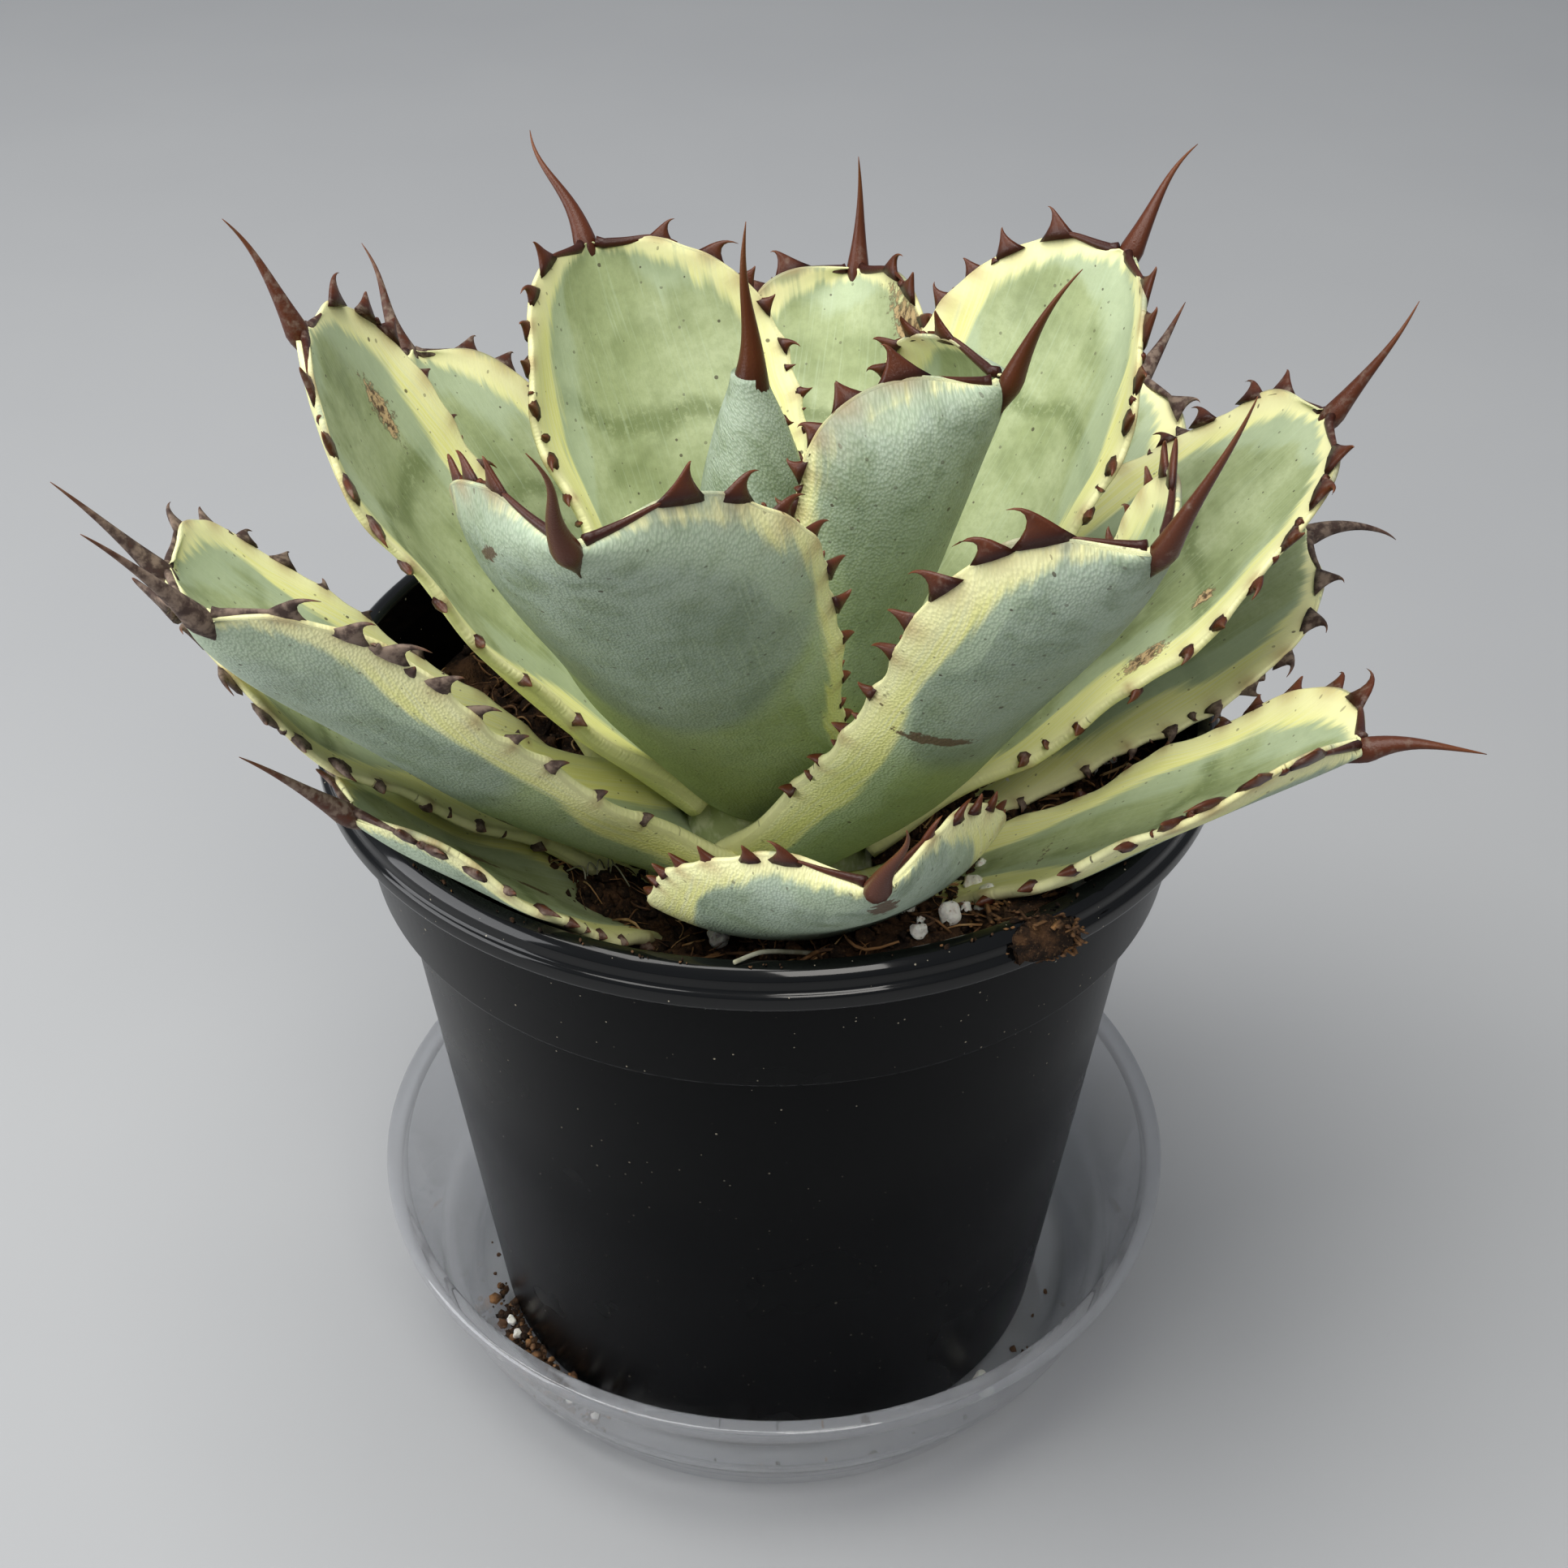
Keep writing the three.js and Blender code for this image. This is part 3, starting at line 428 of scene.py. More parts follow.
def makeLeafSkin():
    look = leafSkinLook
    material, tree, shader = newMaterial("leafSkin", {"Specular IOR Level": look["specular"]})
    across, along, outer = read(tree, "blade")
    margin, fromTip, seed = read(tree, "edge")
    scab, darkScab, nearTooth = read(tree, "mark")
    bandIn, bandOut, _ = read(tree, "band")
    inner = minus(1.0, outer)
    u = plus(times(seed, look["seedShift"][0]), across)
    u = plus(times(outer, look["faceShift"]), u)
    v = plus(times(seed, look["seedShift"][1]), along)
    skin = node(tree, "CombineXYZ", None, {0: u, 1: v}).outputs[0]
    noises = ("streak", "fineStreak", "slow", "grain")
    streak, fineStreak, slow, grain = (cloud(skin, flat=True, **look[name]) for name in noises)

    # The cream margin, a paler band beside it, and the green middle
    bandWidth = plus(times(bandIn, inner), times(bandOut, outer))
    bandWidth = times(bandWidth, plus(look["bandLeast"], times(slow, look["bandSway"])))
    bandWidth = times(bandWidth, step(fromTip, look["bandAtTip"]), step(fromTip, look["bandBelow"]))
    reach = minus(plus(margin, times(minus(streak, look["middle"]), look["fray"])), bandWidth)
    creamMask = step(reach, look["creamEdge"])
    paleWidth = times(step(slow, look["paleWhere"]), look["paleWidth"])
    paleMask = step(minus(reach, paleWidth), look["paleEdge"])
    soft = maskFrom(skinPatches, skin, look["soft"])
    innerTone = blend(soft, look["innerGreen"], look["innerPale"])
    outerTone = blend(soft, look["outerGreen"], look["outerPale"])
    # The lower part of the outer face was covered by the next leaf, so it kept its fresh green
    covered = plus(fromTip, times(across, across, look["coverRound"]))
    covered = plus(covered, times(slow, look["coverSway"]))
    outerTone = blend(step(covered, look["coverEdge"]), outerTone, look["rootGreen"])
    green = blend(outer, innerTone, outerTone)
    smudge = plus(times(inner, look["smudgeInner"]), look["smudgeOuter"])
    smudge = times(maskFrom(skinPatches, skin, look["smudges"]), smudge)
    green = blend(smudge, green, look["smudge"])
    # The print that the leaf in front left across the face while both were still in the bud
    printed = plus(times(across, look["printSlant"]), fromTip)
    printed = plus(printed, times(slow, look["printSway"]))
    printed = calc("ABSOLUTE", minus(printed, look["printPlace"]))
    printed = times(step(printed, look["printEdge"]), inner, step(grain, look["printGrain"]))
    green = blend(printed, green, look["smudge"])
    green = blend(step(grain, look["grainShade"]), green, look["smudge"])
    # Wax: a whitish bloom towards the tip of the outer face
    cloudy = maskFrom(skinPatches, skin, look["cloudy"])
    bloomMask = times(step(fromTip, look["bloomFade"]), cloudy, outer)
    green = blend(bloomMask, green, look["bloom"])
    tone = blend(times(paleMask, look["paleShare"]), green, look["paleBand"])
    creamTone = blend(step(margin, look["butterFrom"]), look["cream"], look["butter"])
    creamTone = blend(step(fineStreak, look["creamStreaks"]), creamTone, look["cream"])
    tone = blend(creamMask, tone, creamTone)
    ribbons = times(step(fineStreak, look["ribbons"]), step(margin, look["ribbonsFrom"]))
    tone = blend(ribbons, tone, look["paleBand"])

    # Fine pimples all over the outer face, with painted shade between them, less of it on the cream margin
    cells = {"Vector": stretched(skin, look["pimpleStretch"]), "Scale": look["pimpleScale"]}
    pimple = node(tree, "TexVoronoi", {"voronoi_dimensions": "2D"}, cells).outputs["Distance"]
    shade = times(step(pimple, look["pimpleEdge"]), outer, look["pimpleShade"])
    shade = times(shade, minus(1.0, times(creamMask, look["lessShadeOnCream"])))
    tone = blend(plus(shade, look["leastShade"]), tone, look["pit"], "MULTIPLY")

    # Specks, scabs and the brown at the foot of each tooth
    for name in ("dark", "fleck"):
        marks = maskFrom(skinSpecks, skin, look[name])
        tone = blend(times(marks, look[name + "Share"]), tone, look["speck"])
    lumpy = times(minus(grain, look["middle"]), look["lumpy"])
    ragged = plus(scab, lumpy)
    paleScab = step(ragged, look["scabEdge"])
    tone = blend(step(ragged, look["scabRim"]), tone, look["darkScab"])
    scabTone = blend(step(grain, look["scabGrain"]), look["darkScab"], look["scab"])
    tone = blend(paleScab, tone, scabTone)
    tone = blend(step(plus(darkScab, lumpy), look["darkEdge"]), tone, look["darkScab"])
    tone = blend(times(nearTooth, look["stainShare"]), tone, look["stain"])
    feed(tone, shader["Base Color"])

    onOuter, onInner = look["pimpleHeight"]
    height = times(pimple, plus(times(outer, onOuter), onInner))
    height = plus(height, times(streak, look["streakHeight"]))
    height = minus(height, times(paleScab, look["scabHeight"]))
    relief(shader, height, *look["relief"])
    rough = plus(look["roughness"], times(cloudy, look["cloudyRoughness"]))
    feed(plus(rough, times(bloomMask, look["bloomRoughness"])), shader["Roughness"])
    return material


hornLook = {
    "foot": (0.036, 0.009, 0.005), "middle": (0.085, 0.022, 0.008), "tip": (0.17, 0.06, 0.022),
    "weathered": (0.20, 0.145, 0.11), "weatheredDark": (0.050, 0.030, 0.024), "specular": 0.28,
    "footEdge": (0.05, 0.3), "tipEdge": (0.5, 1.0, 0.0, 0.8),
    "wearAndHighlight": {"scale": 0.5, "detail": 4.0, "roughness": 0.6},
    "wornMiddle": 0.5, "dryEdge": (0.4, 0.65), "dryAge": (0.35, 0.75), "freshTip": (0.55, 0.95, 1.0, 0.35),
    "roughness": (0.0, 1.0, 0.34, 0.75), "fibre": {"scale": 3.0}, "relief": (0.25, 0.0003),
}


def makeHorn():
    look = hornLook
    material, tree, shader = newMaterial("horn", {"Specular IOR Level": look["specular"]})
    along, age, _ = read(tree, "horn")
    where = place(tree)
    tone = blend(step(along, look["footEdge"]), look["foot"], look["middle"])
    tone = blend(step(along, look["tipEdge"]), tone, look["tip"])
    wearAndHighlight = cloud(where, **look["wearAndHighlight"])
    dry = blend(step(wearAndHighlight, look["dryEdge"]), look["weatheredDark"], look["weathered"])
    dryMask = step(plus(age, minus(wearAndHighlight, look["wornMiddle"])), look["dryAge"])
    dryMask = times(dryMask, step(along, look["freshTip"]))
    feed(blend(dryMask, tone, dry), shader["Base Color"])
    feed(step(dryMask, look["roughness"]), shader["Roughness"])
    relief(shader, cloud(where, **look["fibre"]), *look["relief"])
    return material


leafSkin = makeLeafSkin()
horn = makeHorn()
print("leaf materials ready")


def stemRadius(height):
    return stemForm["topRadius"] + (stemForm["top"] - height) * stemForm["flare"]


def ribDirection(leaf, s):
    return direction(np.radians(mix(*leaf["rise"], s)), np.radians(leaf["azimuth"] + leaf["bend"] * s))


def makeRib(leaf):
    azimuth = math.radians(leaf["azimuth"])
    reach = stemRadius(leaf["height"]) - bladeForm["rootSink"]
    x = plantAxis[0] + reach * math.cos(azimuth)
    y = plantAxis[1] + reach * math.sin(azimuth)
    steps = bladeForm["steps"]
    moves = ribDirection(leaf, (np.arange(steps) + 0.5) / steps) * leaf["length"] / steps
    return np.array([x, y, leaf["height"]]) + np.vstack([np.zeros(3), np.cumsum(moves, axis=0)])


def halfWidth(leaf, s):
    widening = mix(leaf["root"], leaf["width"], smoothStep(s / leaf["widestAt"]))
    past = np.clip((s - leaf["widestAt"]) / (1 - leaf["widestAt"]), 0, 1)
    left = np.clip(1 - past ** bladeForm["tipBelly"], 0, 1) ** bladeForm["tipRound"]
    narrowing = np.maximum(bladeForm["minHalfWidth"], leaf["width"] * left)
    return np.where(s <= leaf["widestAt"], widening, narrowing)


def thickness(s, v):
    form = bladeForm
    middle = form["thickness"] + form["rootExtra"] * (1 - s) ** form["thinning"]
    return middle * (1 - form["edge"] * v * v)


# The blade at s from root to tip: v runs from -1 to 1 across it, and depth goes out of its back
def bladeAt(leaf, rib, s, v, depth):
    s, v, depth = np.broadcast_arrays(np.asarray(s, float), v, depth)
    where = s * bladeForm["steps"]
    first = np.minimum(bladeForm["steps"] - 1, where.astype(int))
    centre = rib[first] + (rib[first + 1] - rib[first]) * (where - first)[..., None]
    along = ribDirection(leaf, s)
    heading = np.radians(leaf["azimuth"] + leaf["bend"] * s)
    level = np.stack([-np.sin(heading), np.cos(heading), np.zeros_like(heading)], -1)
    inward = np.cross(along, level)
    twist = np.radians(leaf["twist"] * s)[..., None]
    side = level * np.cos(twist) + inward * np.sin(twist)
    up = inward * np.cos(twist) - level * np.sin(twist)
    cup = np.maximum(np.radians(mix(*leaf["cup"], s)), bladeForm["minCup"])
    angle = (v * cup)[..., None]
    normal = up * np.cos(angle) - side * np.sin(angle)
    across = side * np.cos(angle) + up * np.sin(angle)
    curl = (halfWidth(leaf, s) / cup)[..., None]
    point = centre + side * curl * np.sin(angle) + up * curl * (1 - np.cos(angle))
    return point - normal * depth[..., None], normal, across


def rowAt(row):
    return 1 - (1 - row / bladeForm["stations"]) ** bladeForm["crowding"]


def toothPlaces(index, margin, scale):
    form = toothForm
    seed = index * placeSeeds["leaf"] + (placeSeeds["margin"] if margin > 0 else 0)
    count = form["lastGap"] - form["firstGap"]
    places = []
    for row in range(form["firstGap"], form["lastGap"] + 1):
        share = (row - form["firstGap"]) / count
        size = mix(form["small"], form["large"], share ** form["growth"])
        size *= drawIn(seed + row, form["sizeRange"]) * scale
        shift = (draw(seed + row + placeSeeds["shift"]) - 0.5) * form["shift"]
        hook = drawIn(seed + row + placeSeeds["hook"], form["hook"])
        places.append((mix(rowAt(row), rowAt(row + 1), 0.5 + shift), size, hook))
    return places


# One margin as a line of points with its own directions, its length so far and the mounds under its teeth
def marginLine(leaf, rib, margin, places):
    form = toothForm
    s = 1 - (1 - np.linspace(0, 1, bladeForm["marginSteps"])) ** bladeForm["marginCrowding"]
    point, normal, across = bladeAt(leaf, rib, s, margin, thickness(s, margin) / 2)
    along = unit(np.gradient(point, axis=0))
    out = unit(np.cross(along, normal))
    out = out * np.where(dot(out, across) * margin < 0, -1, 1)
    run = np.concatenate([[0], np.cumsum(np.linalg.norm(np.diff(point, axis=0), axis=1))])
    mound = -np.interp(run, [0, run[-1]], bladeForm["hollow"])
    stain = np.zeros(len(s))
    for toothS, size, _ in places:
        distance = (run - np.interp(toothS, s, run)) / (size * form["moundReach"] + form["moundLeast"])
        mound += size * form["mound"] * np.exp(-distance * distance)
        stain += np.exp(-distance * distance * form["stainFade"])
    line = {"s": s, "point": point, "normal": normal, "along": along, "out": out}
    return {**line, "run": run, "mound": mound, "stain": np.minimum(stain, 1)}


def sample(line, key, s):
    value = line[key]
    if value.ndim == 1:
        return np.interp(s, line["s"], value)
    return np.stack([np.interp(s, line["s"], value[:, k]) for k in range(3)], -1)


def scarAmount(name, face, kind, s, v):
    leaf = leafForms[name]
    amount = np.zeros(s.shape)
    for scarFace, scarKind, scarS, scarV, halfLength, halfWide in leafScars.get(name, ()):
        if scarFace == face and scarKind == kind:
            down = (s - scarS) * leaf["length"] / halfLength
            over = (v - scarV) * halfWidth(leaf, np.array(scarS)) / halfWide
            amount = np.maximum(amount, scarStrength * np.exp(-down * down - over * over))
    return amount


def addBlade(shape, name, index, leaf, rib, lines):
    form = bladeForm
    rows, columns = form["rows"], form["columns"]
    s = 1 - (1 - np.linspace(0, 1, rows)) ** form["tipCrowding"]
    wide = halfWidth(leaf, s)
    half = thickness(s, 1.0) / 2
    inset = np.minimum(half / wide, form["widestInset"])
    flat = np.linspace(1, -1, columns)
    turns = form["marginTurns"]
    faces = [(flat, "in", None), ([-1] * len(turns), "edge", turns), (-flat, "out", None)]
    faces.append(([1] * len(turns), "edge", turns[::-1]))
    edge = np.vstack([lines[-1]["point"], lines[1]["point"]])[::form["marginSkip"]]
    rings = []
    marks = {"blade": [], "edge": [], "mark": [], "band": []}
    alongTurn, acrossTurn, leafTurn = form["rippleTurns"]
    for places, face, turns in faces:
        for k, across in enumerate(places):
            margin = 1 if across > 0 else -1
            line = lines[margin]
            v = across * (1 - inset)
            depth = {"in": 0 * s, "edge": half, "out": thickness(s, v)}[face]
            point, normal, _ = bladeAt(leaf, rib, s, v, depth)
            out = sample(line, "out", s)
            if turns:
                turn = math.radians(turns[k])
                point = point + (out * math.sin(turn) + normal * math.cos(turn)) * half[:, None]
            weight = np.clip((abs(across) - 1) / form["scallopReach"] + 1, 0, 1) ** form["scallopRise"]
            wave = np.sin(across * acrossTurn + index * leafTurn)
            ripple = form["ripple"] * np.sin(s * alongTurn + index) * wave
            flutter = np.sin(s * form["flutterTurns"][0] + index * form["flutterTurns"][1] + margin)
            ripple = ripple + form["flutter"] * across ** form["flutterRise"] * flutter
            point = point + out * (sample(line, "mound", s) * weight)[:, None] + normal * ripple[:, None]
            rings.append(point)
            outer = {"in": 0, "edge": 0.5, "out": 1}[face]
            marks["blade"].append(np.stack([v * wide, s * leaf["length"], s * 0 + outer], -1))
            scars = (scarAmount(name, face, kind, s, v) for kind in ("pale", "dark"))
            marks["mark"].append(np.stack([*scars, sample(line, "stain", s) * weight ** 2], -1))
            marks["band"].append(np.broadcast_to([*leafLooks[name][1], 0], (rows, 3)))
            near = np.min(np.linalg.norm(point[:, None] - edge[None], axis=-1), axis=1)
            marks["edge"].append(np.stack([near, (1 - s) * leaf["length"], s * 0 + index], -1))
    values = {key: np.stack(value, 1).reshape(-1, 3) for key, value in marks.items()}
    addLoft(shape, np.stack(rings, 1), 0, **values)


# A tube of horn, whose material reads the way t from the foot to the tip, and the age
def addHorn(shape, path, wide, thick, hint, sides, t, age):
    addTube(shape, path, wide, thick, hint, sides, 1, horn=np.stack([t, t * 0 + age, t * 0], -1))


# A hooked tooth on its mound
def addTooth(shape, line, s, size, hook, age):
    form = toothForm
    here = {key: sample(line, key, s) for key in ("point", "out", "along", "normal", "mound")}
    half = thickness(np.array(s), 1.0) / 2
    t = np.linspace(0, 1, form["rows"])
    base = here["point"] + here["out"] * (here["mound"] - form["sink"])
    tip = here["point"] + here["out"] * size * form["reach"] + here["along"] * hook * size * form["curl"]
    lean = base + here["out"] * (size * form["lean"] + form["sink"] * form["leanSink"])
    lean = lean - here["along"] * hook * size * form["leanBack"]
    wide = size * form["foot"] * (1 - t) ** form["footFade"] + form["stalk"] * (1 - t) ** form["stalkFade"]
    wide = wide + form["point"]
    thick = (half + form["bulge"]) * (1 - t) ** form["flatFade"] + form["flatPoint"]
    thick = np.minimum(thick, wide + form["flatExcess"])
    path = curve(base, lean, tip, t[:, None])
    addHorn(shape, path, wide, thick, here["along"], form["sides"], t, age)


def addSpine(shape, leaf, rib, age, index):
    form = spineForm
    length, rise, turn = leaf["spine"]
    end = rib[-1]
    along = ribDirection(leaf, np.array(1.0))
    _, normal, _ = bladeAt(leaf, rib, 1.0, 0.0, 0.0)
    heading = math.radians(leaf["azimuth"] + leaf["bend"] + turn)
    start = end - along * form["decurrent"] - normal * form["depth"]
    bend = end + along * length * form["bend"] - normal * form["depth"] * form["bendDepth"]
    tip = end + direction(math.radians(rise), heading) * length
    t = np.linspace(0, 1, form["rows"])
    clear = form["decurrent"] / (form["decurrent"] + length)
    swell = mix(form["start"], 1, smoothStep(t / clear))
    left = 1 - np.clip((t - clear) / (1 - clear), 0, 1)
    taper = form["flare"] * left ** form["flareFade"] + (1 - form["flare"]) * left ** form["fade"]
    sway = form["sway"] * (draw(index + 0.3) - 0.5) * np.sin(t * fullTurn) * t
    side = np.array([-math.sin(heading), math.cos(heading), 0])
    path = curve(start, bend, tip, t[:, None]) + side * sway[:, None]
    girth = np.minimum(swell, taper)
    wide = form["halfWidth"] * girth + form["point"]
    thick = form["halfThickness"] * girth + form["point"]
    addHorn(shape, path, wide, thick, side, form["sides"], t, age)


# The horny rim that runs from the spine down both margins
def addHornyRim(shape, line, age, seed):
    form = hornyRimForm
    reach = form["length"] * drawIn(seed, form["lengthRange"])
    end = line["run"][-1]
    run = np.linspace(end - reach, end, form["rows"])
    s = np.interp(run, line["run"], line["s"])
    lift = sample(line, "mound", s) + form["lift"]
    path = sample(line, "point", s) + sample(line, "out", s) * lift[:, None]
    grow = np.linspace(form["thinEnd"], 1, form["rows"])
    wide = (thickness(s, 1.0) / 2 + form["overlap"]) * grow
    t = form["tones"][0] - form["tones"][1] * grow
    addHorn(shape, path, wide, form["depth"] * grow, sample(line, "normal", s), form["sides"], t, age)


def makeLeaf(index, name):
    leaf = leafForms[name]
    age = leafLooks[name][0]
    rib = makeRib(leaf)
    shape = newShape("blade", "edge", "mark", "band", "horn")
    teeth = {margin: toothPlaces(index, margin, smallToothed.get(name, 1)) for margin in (-1, 1)}
    lines = {margin: marginLine(leaf, rib, margin, teeth[margin]) for margin in (-1, 1)}
    addBlade(shape, name, index, leaf, rib, lines)
    for margin, places in teeth.items():
        for k, (s, size, hook) in enumerate(places):
            seed = index * toothSeeds["leaf"] + k + (toothSeeds["margin"] if margin > 0 else 0)
            addTooth(shape, lines[margin], s, size, hook, age)
            if k + 1 < len(places) and draw(seed + 0.5) < toothForm["betweenShare"]:
                middle = mix(s, places[k + 1][0], drawIn(seed + 0.7, toothForm["betweenPlace"]))
                addTooth(shape, lines[margin], middle, size * toothForm["between"], -hook, age)
        addHornyRim(shape, lines[margin], age, index * rimSeed + margin)
    addSpine(shape, leaf, rib, age, index)
    makePiece("agaveLeaf" + name[-2:], shape, [leafSkin, horn], name)


for index, name in enumerate(leafForms):
    makeLeaf(index, name)
print("leaves made")


budForm = {
    "base": (-1, -13.5, 141.5), "tip": (-3.5, -13, 200), "spineTip": (-3.7, -13, 223.5), "belly": 11.5,
    "shares": (0, 0.12, 0.3, 0.52, 0.72, 0.88, 0.97, 1.04),
    "radii": (0.65, 0.93, 1, 0.87, 0.68, 0.45, 0.27, 0.2),
    "smoothing": 3, "sides": 72, "rows": 70, "wrap": 0.9, "wrapStart": -0.5, "wrapTurn": 0.9,
    "wrapRise": 1.5,
    "bandReach": 3.0, "clear": 30.0, "seed": 31, "band": (1.5, 2.2, 0), "hornFrom": 0.93, "hornRows": 24,
    "coneReach": 3, "coneOverlap": 0.25, "capFlare": 2.3, "flareFade": 3.5, "capSpine": 1.25,
    "spineFade": 0.7,
    "point": 0.06, "capSway": 0.5, "capSides": 20, "age": 0.05,
}
budTeeth = {
    "count": 7, "first": 0.25, "gap": 0.1, "sink": 0.4, "size": (1.6, 3.4), "drop": (-0.6, 0.4),
    "lean": (0.5, 0.6),
    "lift": 0.9, "foot": 0.42, "fade": 1.5, "point": 0.07, "flat": 0.6, "rows": 7, "sides": 8,
    "seeds": (900, 950),
}


# The small teeth on the rolled leaf's margin, which lies along the wrapping line
def addBudTeeth(shape, centre, fat, lineAngle):
    form = budTeeth
    for k in range(form["count"]):
        row = int(budForm["rows"] * (form["first"] + form["gap"] * k))
        turn = lineAngle[row]
        out = np.array([math.cos(turn), math.sin(turn), 0])
        over = np.array([math.sin(turn), -math.cos(turn), 0])
        foot = centre[row] + out * (fat[row].max() - form["sink"])
        size = drawIn(k + form["seeds"][0], form["size"])
        drop = drawIn(k + form["seeds"][1], form["drop"]) * size
        lean = foot + over * size * form["lean"][0] + out * form["lean"][1]
        end = foot + over * size + out * form["lift"] + np.array([0, 0, drop])
        t = np.linspace(0, 1, form["rows"])
        thick = form["foot"] * size * (1 - t) ** form["fade"] + form["point"]
        path = curve(foot, lean, end, t[:, None])
        addHorn(shape, path, thick, thick * form["flat"], (0, 0, 1), form["sides"], t, 0)


# The young leaves still rolled round each other: the outermost one's margin climbs round the cone
def makeBud():
    form = budForm
    base, tip, spineTip = (np.array(form[key], float) for key in ("base", "tip", "spineTip"))
    share = np.linspace(0, 1, form["rows"])
    radius = form["belly"] * np.interp(share, form["shares"], form["radii"])
    window = 2 * form["smoothing"] + 1
    radius = np.convolve(np.pad(radius, form["smoothing"], "edge"), np.ones(window) / window, "valid")
    angle = np.arange(form["sides"]) / form["sides"] * fullTurn
    lineAngle = form["wrapStart"] + form["wrapTurn"] * share
    behind = np.mod(angle[None, :] - lineAngle[:, None], fullTurn)
    overlap = form["wrap"] * (behind / fullTurn) ** form["wrapRise"]
    overlap = overlap * np.clip(radius / form["belly"], 0, 1)[:, None]
    fat = radius[:, None] - form["wrap"] / 2 + overlap
    centre = base + (tip - base) * share[:, None]
    spread = np.stack([np.cos(angle), np.sin(angle), 0 * angle], -1)
    rings = centre[:, None] + spread[None] * fat[..., None]
    height = (1 - share[:, None] + 0 * behind) * np.linalg.norm(tip - base)
    across = (fullTurn - behind) * radius[:, None]
    near = np.where(across < form["bandReach"], across, form["clear"])
    flat = 0 * behind
    shape = newShape("blade", "edge", "mark", "band", "horn")
    values = {
        "blade": np.stack([across, height, flat + 1], -1).reshape(-1, 3),
        "edge": np.stack([near, height, flat + form["seed"]], -1).reshape(-1, 3),
        "band": form["band"],
    }
    addLoft(shape, rings, 0, **values)
    t = np.linspace(0, 1, form["hornRows"])
    start = base + (tip - base) * form["hornFrom"]
    path = start + (spineTip - start) * t[:, None]
    coneAt = form["hornFrom"] + t * (1 - form["hornFrom"]) * form["coneReach"]
    cone = np.interp(coneAt, share, radius) + form["coneOverlap"]
    wide = form["capFlare"] * (1 - t) ** form["flareFade"] + form["capSpine"] * (1 - t) ** form["spineFade"]
    wide = np.maximum(np.minimum(cone, wide), form["point"])
    path[:, 0] += form["capSway"] * np.sin(t * fullTurn)
    addHorn(shape, path, wide, wide, (0, 1, 0), form["capSides"], t, form["age"])
    addBudTeeth(shape, centre, fat, lineAngle)
    makePiece("agaveBud", shape, [leafSkin, horn], "bud")


makeBud()
print("bud made")


cornerForm = {"share": 0.45, "steps": 4}


# A profile's corners rounded with short curves, then turned about a vertical axis
def roundCorners(profile, radius):
    points = [np.array(p, float) for p in profile]
    made = [points[0]]
    for before, corner, after in zip(points, points[1:], points[2:]):
        here, ahead = corner - before, after - corner
        cut = min(radius, *(np.linalg.norm(leg) * cornerForm["share"] for leg in (here, ahead)))
        for t in np.linspace(0, 1, cornerForm["steps"]):
            made.append(curve(corner - unit(here) * cut, corner, corner + unit(ahead) * cut, t))
    made.append(points[-1])
    return made


def addTurned(shape, profile, sides, centre=(0, 0)):
    angle = np.arange(sides) / sides * fullTurn
    first, last = profile[0], profile[-1]
    body = np.array(profile[1:-1])
    x = centre[0] + body[:, 0, None] * np.cos(angle)
    y = centre[1] + body[:, 0, None] * np.sin(angle)
    rings = np.stack([x, y, np.broadcast_to(body[:, 1, None], x.shape)], -1)
    count = len(body) * sides
    points = np.vstack([rings.reshape(-1, 3), [[*centre, first[1]], [*centre, last[1]]]])
    j = np.arange(sides)
    k = (j + 1) % sides
    low = np.stack([np.full(sides, count), k, j], -1)
    top = (len(body) - 1) * sides
    high = np.stack([top + j, top + k, np.full(sides, count + 1)], -1)
    addPart(shape, points, [gridFaces(len(body), sides), low, high])


saucerForm = {
    "centre": (1, -1.5), "baseRadius": 60, "baseRound": 2, "stepRadius": 66, "stepHeight": 13,
    "stepRound": 1,
    "wallTopRadius": 72.5, "rimRadius": 75, "rimDepth": 3, "rimRound": 0.7, "height": 35, "wall": 1.2,
    "sides": 160, "corner": 1.0,
}
potForm = {
    "gap": 0.3, "footRadius": 53.5, "footRing": 4.5, "footRound": 1, "recess": 2.5, "floor": 2, "wall": 1.6,
    "bodyTopRadius": 65.5, "stepHeight": 107.5, "stepRise": 1, "insideStep": (-1, 4), "collarRadius": 69,
    "collarTopRadius": 73, "lipRadius": 76.2, "lipHeight": 130, "lipRound": 0.6, "beadHeight": 3.5,
    "beadDepth": 0.9, "topRound": 1.6, "height": 137, "drains": 5, "drainRadius": 5, "drainCircle": 36,
    "drainSides": 32, "sides": 160, "corner": 0.8,
}


def saucerProfile():
    c = saucerForm
    return [
        (0, 0),
        (c["baseRadius"] - c["baseRound"], 0),
        (c["baseRadius"], c["baseRound"] / 2),
        (c["stepRadius"] - c["stepRound"], c["stepHeight"] - c["stepRound"]),
        (c["stepRadius"] + c["stepRound"], c["stepHeight"]),
        (c["wallTopRadius"], c["height"] - c["rimDepth"]),
        (c["rimRadius"], c["height"] - c["rimDepth"]),
        (c["rimRadius"], c["height"] - c["rimRound"]),
        (c["rimRadius"] - c["rimRound"], c["height"]),
        (c["wallTopRadius"] - c["wall"], c["height"] - c["rimRound"]),
        (c["stepRadius"] + c["stepRound"] - c["wall"], c["stepHeight"] + c["stepRound"] / 2),
        (c["stepRadius"] - c["stepRound"] - c["wall"], c["stepHeight"] - c["stepRound"] / 2),
        (c["baseRadius"] - c["wall"], c["wall"] + c["baseRound"] / 2),
        (c["baseRadius"] - c["wall"] - c["baseRound"], c["wall"]),
        (0, c["wall"]),
    ]


potFoot = saucerForm["wall"] + potForm["gap"]


